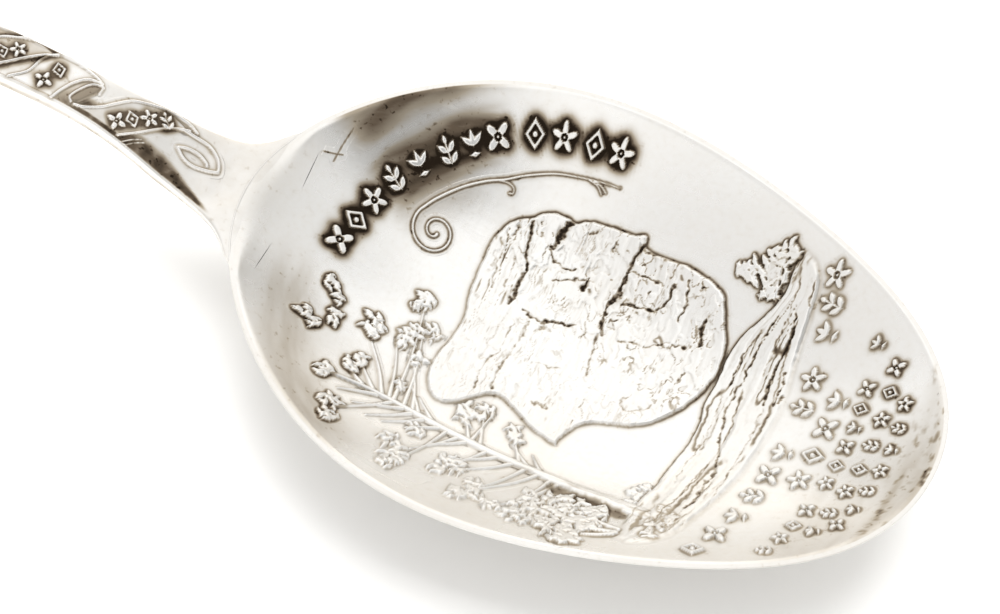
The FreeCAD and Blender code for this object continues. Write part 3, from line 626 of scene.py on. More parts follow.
def vine():
    """An open curl that runs out into a long thin stroke with two tendrils."""
    turn = np.linspace(0, 1, 60)
    angle = CURL_END_ANGLE + 2 * np.pi * CURL_TURNS * (1 - turn)
    radius = CURL_RADII[0] + (CURL_RADII[1] - CURL_RADII[0]) * turn
    curl = np.column_stack([radius * np.cos(angle), radius * np.sin(angle)]) + CURL_CENTRE
    line = np.vstack([curl, curve([curl[-1]] + VINE)[1:]])
    width = np.interp(np.arange(len(line)), [0, 8, 70, len(line) - 1], [0.1, 0.05, 0.08, 0.015])
    distance, width = bowl.stroke(np.column_stack([line, width]))
    tendrils = [bowl.rib(points, 0.1, 0.085, 0.08) for points in TENDRILS]
    height = highest(0.15 * ramp(width + 0.05 - distance, 0, 0.11), *tendrils)
    bowl.add("vine_scroll_relief", height, 0, 0.07, 0.4)


# --- Ornaments. Each motif gives a measure that is positive inside its shape, about 2 long and upright ---


def petals(u, v, count, reach, turn=0.0, waist=0.42):
    """Inside measure of a flower with round petals."""
    angle = np.arctan2(v, u) - turn
    return reach * (1 - waist + waist * np.cos(count * angle)) - np.hypot(u, v)


def leaf(u, v, x, y, length, width, turn):
    """Inside measure of one leaf."""
    c, s = math.cos(turn), math.sin(turn)
    along, across = (u - x) * c + (v - y) * s, -(u - x) * s + (v - y) * c
    return width * (1 - (along / length) ** 2) - np.abs(across)


def flower(u, v):
    return np.where(np.hypot(u, v) < 0.3, 0.17 - np.hypot(u, v), petals(u, v, 4, 1.15, math.pi / 4, 0.33))


def star(u, v):
    return np.where(np.hypot(u, v) < 0.26, 0.14 - np.hypot(u, v), petals(u, v, 5, 1.08, 0.0, 0.3))


def lozenge(u, v):
    outer = 0.85 - 0.8 * np.abs(u) - np.abs(v)
    return np.where(outer > 0.44, 0.26 - np.hypot(u, v), np.minimum(outer, 0.4 - outer))


def sprig(u, v):
    stem = 0.11 - np.abs(v) - 10 * np.maximum(np.abs(u) - 0.9, 0)
    shapes = [leaf(u, v, x, s * 0.36, 0.52, 0.28, s * 0.75) for x in (-0.5, 0.25) for s in (1, -1)]
    return highest(stem, leaf(u, v, 0.8, 0, 0.35, 0.24, 0), *shapes)


def palmette(u, v):
    shapes = [leaf(u, v, 0.4 * math.cos(a) - 0.1, 0.5 * math.sin(a), 0.65, 0.27, a) for a in (0, 0.85, -0.85)]
    foot = 0.26 - np.abs(u + 0.75) - 0.45 * np.abs(v)
    return highest(foot, *shapes)


MOTIFS = [flower, sprig, lozenge, palmette, star]
TITLE_PLACES = [
    (-17.3, 0.7), (-16.95, 2.4), (-16.5, 4.1), (-15.9, 5.9), (-14.9, 7.5), (-13.6, 8.95), (-12.4, 10.1),
    (-11.1, 11.1), (-9, 12.2), (-7.2, 12.75), (-5.2, 13.05), (-3.45, 13.2),
]
# Lower rows: (crest along, crest across, bending radius, half height, places across).
LOWER_ROWS = [
    (13.75, 1, 37, 0.78, [-10.5, -8.4, -6.3, -4.3, -2.4, -0.6, 2.7, 4.6, 7.4, 9, 10.5]),
    (15.65, 1, 60, 0.76, [-2.3, -0.3, 1.7, 3.6]),
    (17.35, 0.5, 32, 0.54, [-8.9, -7.4, -6, -4.5, -2.1, -0.7, 0.7, 2.1, 3.4, 4.7, 7.4]),
    (18.85, 0.8, 28, 0.54, [-6.2, -4.4, -2.5, -0.7, 1.1, 2.9, 4.7, 6.2]),
    (20.15, 0.5, 18, 0.5, [-5.3, -3.8, -2.2, -0.6, 1, 2.5, 4.1]),
]
SCRATCHES = [[(-19.55, 4.7), (-19.45, 5.8), (-19.25, 7.0)], [(-20.3, 4.85), (-19.7, 5.1), (-19.2, 5.35)]]


def stamped(canvas, places, half_height, height):
    """Raised motifs, each given as (x, y, turn of its first axis, number)."""
    total = np.zeros(canvas.x.shape)
    for x, y, turn, number in places:
        where = canvas.window(np.array([(x, y)]), 2 * half_height)
        dx, dy = canvas.x[where] - x, canvas.y[where] - y
        u = (dx * math.cos(turn) + dy * math.sin(turn)) / half_height
        v = (-dx * math.sin(turn) + dy * math.cos(turn)) / half_height
        shape = ramp(MOTIFS[number % len(MOTIFS)](u, v) * half_height, -0.02, 0.11)
        total[where] = np.maximum(total[where], height * shape)
    return total


def ornaments():
    places = [(x, y, math.atan2(y, x - ARC_X), 2 * n + n // 5) for n, (x, y) in enumerate(TITLE_PLACES)]
    height = stamped(bowl, places, 0.82, 0.3)
    dark = bowl.halo(height, 0.33, 0.95)
    for points in SCRATCHES:
        distance, _ = bowl.stroke(curve(points))
        height = np.maximum(height, 0.006 * (distance < 0.09))
        dark = np.maximum(dark, 0.45 * ramp(distance, 0.07, 0.02))
    bowl.add("title_ornaments", height, dark)
    for number, (crest_x, crest_y, bend, half, row) in enumerate(LOWER_ROWS, start=1):
        places = []
        for n, y in enumerate(row):
            lean = math.asin((y - crest_y) / bend)
            x = crest_x - bend * (1 - math.cos(lean))
            places.append((x, y, math.pi - lean, 3 * n + 2 * number + n // 4))
        height = stamped(bowl, places, half, 0.24)
        bowl.add(f"lower_ornaments_{number}", height, 0, 0.15, 0.12 + 0.07 * number)


ARC_X = -4.0  # the upper row, and the tarnish and painted shade round it, follow circles about this place on the long axis
# Tarnish and painted shade along such circles: strength, radius, reach, reach at full strength, and the turns
# in degrees between which it comes in and goes out. The first two, round the upper row, are tarnish with a
# painted reflection of a dark object; the third is a painted shadow band.
ARC_STAINS_AND_SHADE = [
    (0.8, 13.3, 2.0, 0.5, 17, 30, 63, 52), (0.16, 11.2, 2.2, 0.3, 16, 26, 55, 40),
    (0.16, 14.9, 2.5, 0.3, 0, -18, -78, -48),
]


def bowl_stain(x, y):
    """Broad darkening, 0 to 1: tarnish with a painted reflection round the upper row and up to the rim there,
    a painted shadow band opposite, and a little elsewhere.
    """
    ring, turn = np.hypot(x - ARC_X, y), np.degrees(np.arctan2(y, ARC_X - x))
    # painted reflection of a dark object, with tarnish, from the upper row out to the rim
    total = 0.55 * ramp(ring, 14.9, 16.4) * ramp(turn, 20, 29) * ramp(turn, 68, 48)
    # the arcs: tarnish with painted reflection round the upper row, and a painted shadow band opposite
    for strength, radius, reach, full, a, b, c, d in ARC_STAINS_AND_SHADE:
        arc = ramp(np.abs(ring - radius), reach, full) * ramp(turn, a, b) * ramp(turn, c, d)
        total = total + strength * arc
    tip = ramp(x, 20.0, 21.8) * (0.1 + 0.35 * ramp(rough_noise(x, y, 0.3, 0.4, 92), 0.15, 0.6))
    neck = 0.055 * ramp(x, -19.0, -22.5)
    low = 0.09 * ramp(x, 14.0, 19.0) * ramp(y, 5.0, -1.0)
    streaks = 1 + 0.55 * rough_noise(0.25 * turn, ring, 2.4, 0.5, 91)
    return np.clip((total + tip + neck + low) * streaks, 0, 1)


for draw in (boulder, ledge, tree, plants, vine, ornaments):
    draw()
bowl.finish(3.6)
# tarnish with painted reflection and painted shadow, kept for the relief pieces
bowl.stain = bowl_stain(X, Y)
OXIDE = 0.7 + 0.35 * ramp(Y, -2, 6) + 0.35 * ramp(X, -8, -13) - 0.15 * ramp(X, 12, 12.8)
OXIDE = np.minimum(OXIDE + 0.2 * ramp(X, 15.5, 18), 1.15)
bowl.patina_and_shade = np.clip(bowl.patina_and_shade * OXIDE, 0, 1)

# --- The handle's relief ---


def handle_point(x, y):
    return surface_point(handle_surface, x, y, handle.sample(handle.ground, x, y), 0.6)


handle = Canvas((HANDLE_END, -7.4), (-21.0, 7.4), handle_point)
U, V = handle.x, handle.y
WIDTH = half_width(U)
BORDER = 0.22  # plain raised strip along each edge of the handle
handle.allowed = np.abs(V) < WIDTH - 0.14

RIBBON_B_TOP = [(-38.9, -1.35), (-38, -0.55), (-37.6, 0.55), (-37.1, 1.2), (-36.3, 1.42), (-35, 1.35),
                (-33.9, 1.1), (-33.45, 0.75)]
RIBBON_B_FOOT = [(-33.6, 0.95), (-34.45, 0.8), (-35.1, 0.2), (-35.55, -0.55), (-35.9, -1.4)]
FOLD = [(-34.75, -1.05), (-34.95, -0.75), (-34.6, 0), (-34.1, 0.6), (-33.5, 0.75), (-33.45, 0.3),
        (-33.9, -0.4), (-34.3, -0.95)]
RIBBON_C_TOP = [(-34.5, -1.12), (-33.9, -0.95), (-33, -0.35), (-32.3, 0.35), (-31.55, 1.05),
                (-30.65, 1.45), (-29.9, 1.7), (-29.3, 1.8)]
RIBBON_C_FOOT = [(-27.9, 1.45), (-28.55, 1.15), (-29.2, 0.65), (-29.8, 0.1), (-30.35, -0.45), (-30.9, -0.95),
                 (-31.4, -1.4)]
RIBBON_TAIL = [(-29.3, 1.8), (-28.6, 1.85), (-28, 1.8), (-27.5, 1.6)]
LEAF_LOOP = [
    [(-28.3, 1.3), (-27.5, 1.32), (-26.5, 1.3), (-25.75, 0.88), (-25.4, 0.4), (-25.3, 0.05)],
    [(-25.3, 0.05), (-25.7, -0.13), (-26.1, -0.26), (-26.84, -0.42), (-27.5, -0.3), (-28.1, 0.1)],
    [(-28.1, 0.1), (-27.55, 0.37), (-26.8, 0.44), (-26.2, 0.22), (-26.05, 0.05)],
]
PLEAT = [(-31.2, -1.5), (-30.75, -1.05), (-30.3, -0.7)]
UPPER_MARKS = [(-36.85, -0.62), (-36.3, 0.45)]
LOWER_MARKS = [(-31.85, -0.66), (-31.1, -0.02), (-30.25, 0.62), (-29.3, 1.12)]
UPPER_TURN, LOWER_TURN = 2.2, 2.35  # radians
REPEAT = 9.4  # the ribbon's crossings follow each other at this spacing on the plain part of the stem
REPEATS = 5
FLOOR, RIDGE, MARK = 0.08, 0.2, 0.24
END_X = NECK - 86.0  # middle of the ornament on the handle's end
BORDER_AXES = (9.6, 5.6)
PEARLS = 62


def ridge(points, half=0.09, height=RIDGE):
    return handle.rib(points, height, half + 0.06, 0.12, per=6)


def band(top, foot):
    """A ribbon's floor between its two edges, and those edges as ridges."""
    inside = handle.area(np.vstack([curve(top, per=6), curve(foot, per=6)]))
    return highest(FLOOR * ramp(inside, -0.02, 0.1), ridge(top), ridge(foot))


def marks(places, turn):
    return stamped(handle, [(x, y, turn, 2 * n) for n, (x, y) in enumerate(places)], 0.56, MARK)


def marks_dark(height, shapes):
    return handle.halo(shapes, 0.26, 0.6) * ramp(height, RIDGE + 0.03, RIDGE - 0.05)


def draw_ribbons():
    """Two stretches of ribbon next to the neck, and the same again and again up the stem."""
    across = 1 - np.abs(V) / WIDTH
    inside = ramp(across, 0.0, 0.02)
    fold = handle.area(curve(FOLD, closed=True, per=6))
    signs = marks(UPPER_MARKS, UPPER_TURN)
    creases = [0.14 * ramp(fold, 0, 0.25), ridge(FOLD[:6], 0.07)]
    upper = highest(band(RIBBON_B_TOP, RIBBON_B_FOOT), signs, *creases)
    dark = np.maximum(marks_dark(upper, signs), 0.45 * ramp(fold, 0.0, 0.2))
    handle.add("ribbon_upper_relief", upper * inside, dark)
    signs = marks(LOWER_MARKS, LOWER_TURN)
    creases = [ridge([(x + 0.22 * k, y - 0.1 * k) for x, y in PLEAT], 0.03, 0.14) for k in (1, 2)]
    lower = highest(band(RIBBON_C_TOP, RIBBON_C_FOOT), signs, ridge(RIBBON_TAIL), *creases)
    handle.add("ribbon_lower_relief", lower * inside, marks_dark(lower, signs))
    handle.add("leaf_loop_relief", highest(*map(ridge, LEAF_LOOP)) * inside)

    hidden, dark = np.zeros(U.shape), np.zeros(U.shape)
    for n in range(REPEATS):
        shift = -REPEAT * (n + 0.95)
        scale = float(half_width(-31.0 + shift) / half_width(-31.0))
        lines = RIBBON_C_TOP, RIBBON_C_FOOT, RIBBON_B_TOP, RIBBON_B_FOOT, LOWER_MARKS[:3], UPPER_MARKS
        moved = [[(x + shift, y * scale) for x, y in line] for line in lines]
        c_top, c_foot, b_top, b_foot, low, high = moved
        signs = np.maximum(marks(low, LOWER_TURN), marks(high, UPPER_TURN)) * ramp(across, 0.06, 0.14)
        here = highest(band(c_top, c_foot), band(b_top, b_foot), signs)
        hidden, dark = np.maximum(hidden, here), np.maximum(dark, marks_dark(here, signs))
    hidden = hidden * ramp(across, 0.04, 0.14)
    handle.add("stem_ribbon_relief", hidden, np.maximum(dark, handle.halo(hidden, 0.25, 0.5)))


def dome(x, y, radius):
    return np.sqrt(np.clip(1 - (x**2 + y**2) / radius**2, 0, 1))


def draw_end():
    """The handle's end: an oval border of pearls round a rosette and four sprays of leaves."""
    u, v = U - END_X, V
    long_axis, short_axis = BORDER_AXES
    ring = np.hypot(u / long_axis, v / short_axis)
    gap = np.abs(ring - 1) * ring / np.hypot(u / long_axis**2, v / short_axis**2).clip(0.001)
    turn = np.linspace(-np.pi, np.pi, 721)
    length = np.cumsum(np.hypot(long_axis * np.sin(turn), short_axis * np.cos(turn))) * (turn[1] - turn[0])
    place = np.interp(np.arctan2(v / short_axis, u / long_axis), turn, length / length[-1] * PEARLS)
    along = (place % 1 - 0.5) * length[-1] / PEARLS
    frame_lines = 0.1 * ramp(0.62 - gap, 0, 0.08) * ramp(gap, 0.38, 0.46)
    border = highest(0.24 * dome(along, gap, 0.36), frame_lines, 0.03 * ramp(0.6 - gap, 0, 0.08))
    handle.add("end_border_relief", border, 0, 0.3, 0.45)
    outer, inner = petals(u, v, 8, 2.2, 0.0, 0.38), petals(u, v, 8, 1.25, math.pi / 8, 0.38)
    veins = 0.04 * np.cos(8 * np.arctan2(v, u)) ** 8 * (outer > 0.1)
    layers = [0.2 * ramp(outer, 0, 0.45) + veins, 0.25 * ramp(inner, 0, 0.25), 0.25 * dome(u, v, 0.45)]
    rosette = highest(*layers) * (np.hypot(u, v) < 2.4)
    handle.add("end_rosette_relief", rosette, 0, 0.3, 0.5)
    shapes = []
    for side in (1, -1):
        for lift, size, x in ((0.0, 2.6, 5.4), (0.75, 1.7, 4.1), (-0.75, 1.7, 4.1)):
            shapes.append(leaf(side * u, v, x, 1.56 * math.sin(lift), size, 0.62, lift))
        for lift in (0.0, 0.8, -0.8):
            shapes.append(leaf(side * v, u, 3.3, 1.2 * math.sin(lift), 1.25, 0.42, lift))
    field = highest(*shapes)
    rib = 0.05 * np.cos(9 * np.hypot(u, v)) ** 2
    leaves = (0.22 * ramp(field, 0, 0.3) - rib * ramp(field, 0, 0.2)).clip(0) * (ring < 0.9)
    handle.add("end_leaves_relief", leaves, 0, 0.3, 0.5)


def draw_ground():
    """The sunk ground between the borders, and its oxide."""
    edge = WIDTH - BORDER - np.abs(V)
    along = NECK - U
    tip = END_HALF * (1 - np.hypot((along - END_MIDDLE).clip(0) / END_LENGTH, V / END_HALF)) - 2 * BORDER
    edge = np.where(along > END_MIDDLE, np.minimum(edge, tip), edge)
    lower_end = ramp(along + 0.9 * (V + 2.4), 0.4, 2.4)
    panel = ramp(edge, -0.05, 0.15) * lower_end
    left = ramp(V, 0.9, -0.9)
    near_neck = ramp(along, 13.0, 9.5)
    handle.ground = -0.16 * panel * (1 - near_neck * (1 - left))
    reach = 0.35 + 1.15 * ramp(along, 1.2, 5.5)  # the dark strip by the left border narrows to a point
    strip = ramp(WIDTH - BORDER + V, reach, 0.5 * reach)
    rod = ramp(np.abs(along - 14.9), 1.6, 0.6)
    dark = (0.04 + 0.68 * strip) * near_neck + (0.14 + 0.16 * ramp(edge, 0.6, 0.0)) * (1 - near_neck)
    cloudy = 1 + 0.5 * handle.rough(0.5, 95)
    handle.stain = panel * np.clip(dark * cloudy - 0.35 * rod, 0, 1)


draw_ground()
draw_ribbons()
draw_end()
handle.finish(4.5)

# --- Materials ---


class Graph:
    """The shader nodes of one material or world."""

    def __init__(self, owner):
        owner.use_nodes = True
        self.nodes, self.links = owner.node_tree.nodes, owner.node_tree.links

    def feed(self, socket, source):
        """Links a socket to another node's output, or sets it to a constant."""
        if isinstance(source, bpy.types.NodeSocket):
            self.links.new(source, socket)
        else:
            socket.default_value = source

    def node(self, kind, inputs, **settings):
        """A new node with its settings made and its inputs fed."""
        made = self.nodes.new("ShaderNode" + kind)
        for key, value in settings.items():
            setattr(made, key, value)
        for key, source in inputs.items():
            self.feed(made.inputs[key], source)
        return made

    def spread(self, source, low, high, out_low=0.0, out_high=1.0, **settings):
        """A value that goes from out_low to out_high as its source goes from low to high."""
        ends = {"Value": source, "From Min": low, "From Max": high, "To Min": out_low, "To Max": out_high}
        return self.node("MapRange", ends, **settings).outputs["Result"]

    def combine(self, operation, a, b):
        return self.node("Math", {0: a, 1: b}, operation=operation, use_clamp=True).outputs[0]


# Colours of silver as its patina, and the painted shade carried with it, go from none to full. The first is
# the metal's own tone.
PATINA_AND_SHADE_STOPS = [(0.3, (0.50, 0.435, 0.345)), (0.62, (0.175, 0.134, 0.096)), (1.0, (0.03, 0.021, 0.014))]


def silver(name, tone, roughness, wear):
    """Sterling silver: polished where clean, brown to black where the attribute of patina and painted shade
    says.
    """
    material = bpy.data.materials.new(name)
    graph = Graph(material)
    spread, combine = graph.spread, graph.combine
    shader = graph.nodes["Principled BSDF"].inputs
    place = graph.node("TexCoord", {}).outputs["Object"]

    def texture(scale, detail, stretch=(1, 1, 1)):
        vector = graph.node("Mapping", {"Vector": place, "Scale": stretch}).outputs["Vector"]
        return graph.node("TexNoise", {"Vector": vector, "Scale": scale, "Detail": detail}).outputs["Fac"]

    # patina, with painted shade on the bowl, as the meshes carry it
    patina_and_shade = graph.node("Attribute", {}, attribute_name="patina_and_shade").outputs["Fac"]
    cloud = texture(140, 5)
    speckle = texture(2600, 4)
    scratches = texture(900, 3, (0.12, 1.6, 1.0))
    hairlines = texture(1400, 2, (1.5, 0.1, 1.0))

    specks = combine("MULTIPLY", spread(speckle, 0.62, 0.74), combine("ADD", patina_and_shade, 0.018 * wear))
    colour = graph.node("ValToRGB", {"Fac": combine("ADD", patina_and_shade, specks)})
    stops = [(0.0, tone)] + PATINA_AND_SHADE_STOPS
    points = colour.color_ramp.elements
    while len(points) < len(stops):
        points.new(0.5)
    for point, (position, rgb) in zip(points, stops):
        point.position = position
        point.color = (*rgb, 1)
    grain = combine("ADD", spread(cloud, 0.4, 0.68, 0.0, 0.45), spread(speckle, 0.4, 0.65, 0.0, 0.3))
    layers = {"Factor": grain, "A": colour.outputs["Color"], "B": (0.95, 0.93, 0.9, 1)}
    tint = graph.node("Mix", layers, data_type="RGBA", blend_type="MULTIPLY")

    rough = spread(cloud, 0.3, 0.7, roughness - 0.05, roughness + 0.07)
    rough = combine("ADD", rough, combine("MULTIPLY", patina_and_shade, 0.3))
    rough = combine("ADD", rough, spread(scratches, 0.6, 0.72, 0.0, 0.1 * wear))

    surface = combine("ADD", combine("MULTIPLY", scratches, 0.5), combine("MULTIPLY", hairlines, 0.5))
    surface = combine("ADD", combine("MULTIPLY", surface, 0.6), combine("MULTIPLY", speckle, 0.4))
    bump = graph.node("Bump", {"Height": surface, "Strength": 0.12 * wear, "Distance": 0.00008})

    shader["Metallic"].default_value = 1.0
    graph.feed(shader["Base Color"], tint.outputs["Result"])
    graph.feed(shader["Roughness"], rough)
    graph.feed(shader["Normal"], bump.outputs["Normal"])
    return material


MATERIALS = {
    "bowl_silver": silver("bowl_silver", (0.96, 0.953, 0.937), 0.27, 1.0),
    "bowl_relief_silver": silver("bowl_relief_silver", (0.96, 0.953, 0.937), 0.3, 0.8),
    "handle_silver": silver("handle_silver", (0.94, 0.928, 0.908), 0.3, 1.2),
    "handle_relief_silver": silver("handle_relief_silver", (0.95, 0.94, 0.925), 0.28, 0.8),
}
SLOTS = {entry["node"]: entry["material_slot"] for entry in frame["record"]["subparts"]}

# --- Meshes ---


def add_object(name, data):
    made = bpy.data.objects.new(name, data)
    bpy.context.scene.collection.objects.link(made)
    return made


def make_piece(name, node, points, faces, patina_and_shade, smooth_groups):
    """A closed mesh that stands for a CAD node. Groups of faces after the smooth ones are flat shaded."""
    mesh = bpy.data.meshes.new(name)
    shifted = (np.asarray(points) + (MIDDLE_X, 0, 0)) * MM
    mesh.from_pydata(shifted.tolist(), [], [face for group in faces for face in group.tolist()])
    # the attribute carries patina and tarnish, and on the bowl painted reflection and shadow as well
    attribute = mesh.attributes.new("patina_and_shade", "FLOAT", "POINT")
    attribute.data.foreach_set("value", np.asarray(patina_and_shade, np.float32))
    smooth = [np.full(len(group), number < smooth_groups) for number, group in enumerate(faces)]
    mesh.polygons.foreach_set("use_smooth", np.concatenate(smooth))
    mesh.update()
    piece = add_object(name, mesh)
    mesh.materials.append(MATERIALS[SLOTS[node]])
    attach(piece, "root")
    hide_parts(node)


def rings_to_faces(rings, around):
    """Quads between rings of points, and fans to the two middle points that follow the rings."""
    number = np.arange(rings * around).reshape(rings, around)
    after = np.roll(number, -1, axis=1)
    quads = np.stack([number[:-1], after[:-1], after[1:], number[1:]], axis=-1).reshape(-1, 4)
    middle = np.full(around, rings * around)
    ends = (middle, after[0], number[0]), (middle + 1, number[-1], after[-1])
    return [quads] + [np.column_stack(end) for end in ends]


AROUND = 470
NECK_SINK = 0.02  # how far the bowl's edge is let down under the neck's top
NECK_GAP = 0.008  # how far the neck's top lies under the surface that it shares with the bowl
INNER_RINGS = 150
OUTER_RINGS = 46
ROUND_STEPS = 5
RIM_RINGS = INNER_RINGS + 2 * (ROUND_STEPS + 1)  # rings on the hollow and the rim


def bowl_body():
    """The bowl: hollow, rounded rim and back, on rings of its own outline."""
    t = np.linspace(0, 2 * np.pi, AROUND, endpoint=False)

    def level(scale, inset, depth=None):
        x, y = egg(t, inset)
        z = np.full(AROUND, RIM_Z if depth is None else wall_z(scale, depth))
        return np.column_stack([x * scale, y * scale, z])

    def rounded(before, corner, after):
        u = np.linspace(0, 1, ROUND_STEPS + 1)[:, None, None]
        return list((1 - u) ** 2 * before + 2 * u * (1 - u) * corner + u**2 * after)

    inner_depth = RIM_Z - FOOT_WALL
    rings = [level(s, RIM_WIDTH, inner_depth) for s in np.linspace(0.006, 0.985, INNER_RINGS)]
    rings += rounded(level(0.988, RIM_WIDTH, inner_depth), level(1, RIM_WIDTH),
                     level(1, RIM_WIDTH - RIM_ROUND))
    rings += rounded(level(1, RIM_ROUND), level(1, 0), level(0.992, 0, RIM_Z))
    rings += [level(s, 0, RIM_Z) for s in np.linspace(0.985, FOOT_LEVEL, OUTER_RINGS)]
    rings += [level(s, 0, RIM_Z) for s in (0.06, 0.02)]
    points = np.vstack(rings)
    ends = np.array([(0, 0, FOOT_WALL), (0, 0, 0)])
    faces = rings_to_faces(len(rings), AROUND)
    inner = np.arange(len(points)) < (INNER_RINGS + ROUND_STEPS) * AROUND
    x, y = points[:, 0], points[:, 1]
    side = np.abs(y) / half_width(x)
    share = ramp(x, NECK + 2.4, NECK + 1.0) * ramp(side, 1.0, 0.93)
    on_top = np.repeat(np.interp(np.arange(len(rings)), [RIM_RINGS - 4, RIM_RINGS], [1, 0]), AROUND)
    wanted = neck_surface(x, y) - NECK_SINK * ramp(bowl_scale(x, y, 0), 0.955, 0.995)
    points[:, 2] += share * on_top * (wanted - points[:, 2])
    # the inside carries patina, and the tarnish, painted reflection and painted shadow of the broad darkening
    patina_and_shade = np.where(inner, np.maximum(bowl.sample(bowl.patina_and_shade, x, y), bowl_stain(x, y)), 0.05)
    make_piece("bowl_body", "bowl", np.vstack([points, ends]), faces, np.append(patina_and_shade, (0, 0)), 3)


SECTION = 96
BELLY_POWER_NECK, BELLY_POWER_STEM = 1.7, 2.4
SHORT_STEP = 0.003  # keeps the shading of a closed end away from the rest


def handle_body(name, node, places):
    """A stretch of the handle through places at these distances from the neck, with closed ends."""
    first, last = places[0], places[-1]
    d = np.concatenate([[first, first + SHORT_STEP], places[1:-1], [last - SHORT_STEP, last]])
    x = (NECK - d)[:, None]
    phi = (np.linspace(0, 2 * np.pi, SECTION, endpoint=False) + np.pi / SECTION)[None, :]
    half = half_width(x) * (1 - 0.09 * ramp(x, NECK + 0.8, NECK + 2.2))
    y = half * np.sign(np.cos(phi)) * np.abs(np.cos(phi)) ** 0.8
    side = np.abs(y) / half
    x_all = x + 0 * y
    power = BELLY_POWER_NECK + (BELLY_POWER_STEM - BELLY_POWER_NECK) * ramp(NECK - x, 0, 8)
    edge_z, under = handle_edge(x), through(UNDER_STATIONS, NECK - x)
    lower = edge_z - (edge_z - under) * (1 - side**power) ** (1 / power)
    # Where it reaches under the bowl, its belly and its top run into the bowl's own metal.
    bowl_back = outside(x_all, y)
    sunk = ramp(x, NECK + 0.3, NECK + 2.6)
    lower = lower + sunk * (np.minimum(bowl_back + 0.1, RIM_Z - 0.12) - lower).clip(0)
    is_top = np.sin(phi) > 0
    dive = np.maximum(ramp(bowl_scale(x_all, y, RIM_WIDTH), 0.985, 0.93), ramp(x, NECK + 1.2, NECK + 2.6))
    gap = NECK_GAP * ramp(x, NECK - 2.0, NECK - 0.8)
    shared = neck_surface(x_all, y) - gap
    joined = np.maximum(np.maximum(shared - 0.6 * dive, np.minimum(bowl_back + 0.2, shared)), lower + 0.02)
    upper = np.where(x > NECK - 3, joined, handle_surface(x_all, y)) + handle.sample(handle.ground, x_all, y)
    z = np.where(is_top, upper, lower)
    points = np.stack([x_all, y, z], axis=-1)
    middles = points[[0, -1]][:, [SECTION // 4, 3 * SECTION // 4]].mean(axis=1)
    ends = middles * (1, 0, 1)
    dark = np.maximum(handle.sample(handle.patina_and_shade, x_all, y), handle.sample(handle.stain, x_all, y))
    cloudy = np.clip(1 + 0.9 * rough_noise(x_all, lower, 2.0, 0.6, 96), 0, 2)
    wall = 0.05 + 0.15 * ramp(side, 0.8, 1.0) * ramp(NECK - x, -1.0, 4.0) * cloudy
    light = 0.055 * ramp(x, NECK - 7, NECK - 2) * (1 + 0.6 * rough_noise(x_all, y, 0.7, 0.7, 97))
    dark = np.where(is_top, np.maximum(dark, light), wall)
    faces = rings_to_faces(len(d), SECTION)
    everything = np.vstack([points.reshape(-1, 3), ends])
    make_piece(name, node, everything, faces, np.append(dark.ravel(), (0, 0)), 1)


def heel_drop():
    """The tongue struck under the heel of the bowl."""
    x, side = np.meshgrid(np.linspace(-22.6, -13.9, 90), np.linspace(-1, 1, 49), indexing="ij")
    reach = ramp(-x, 13.9, 15.5) ** 0.5
    y = side * 3.0 * reach * (0.72 + 0.28 * ramp(-x, 14.5, 19))
    back = outside(x, y)
    low = back - 0.42 * (1 - side**2) ** 0.5 * reach + 0.02
    high = np.minimum(back + 0.3, RIM_Z - 0.5)
    top, base = (np.stack([x, y, z], axis=-1).reshape(-1, 3) for z in (high, low))
    used = np.ones(x.shape, bool)
    points, faces = sheet_solid(top, base, used, used[1:, 1:])
    make_piece("heel_drop_body", "heel_drop", points, faces, np.full(len(points), 0.06), 2)


def sheet_solid(top, base, used, cells):
    """Points and faces of the closed solid between two sheets, over some cells of a grid.

    The sheets' points belong to the used places of the grid, in order.
    """
    number = (np.cumsum(used) - 1).reshape(used.shape)
    i, j = np.nonzero(cells)
    a, b, c, d = number[i, j], number[i + 1, j], number[i + 1, j + 1], number[i, j + 1]
    below = len(top)
    faces = [np.column_stack([a, b, c, d]), np.column_stack([d, c, b, a]) + below]
    padded = np.pad(cells, 1)
    for di, dj, first, second in ((0, -1, a, b), (1, 0, b, c), (0, 1, c, d), (-1, 0, d, a)):
        rim = ~padded[i + 1 + di, j + 1 + dj]
        first, second = first[rim], second[rim]
        faces.append(np.column_stack([second, first, first + below, second + below]))
    return np.vstack([top, base]), faces


APRON_CELLS = 5
APRON_LIFT = 0.003
APRON_DIP = 0.008  # the apron's border goes this far down, into the metal
BURIED = 0.25


def grow(mask, cells):
    """A mask with its edges moved out by a number of cells, round-cornered."""
    for n in range(cells):
        wider = mask.copy()
        for axis in (0, 1):
            wider |= np.roll(mask, 1, axis) | np.roll(mask, -1, axis)
        if n % 2:
            for shift in ((1, 1), (1, -1), (-1, 1), (-1, -1)):
                wider |= np.roll(mask, shift, (0, 1))
        mask = wider
    return mask


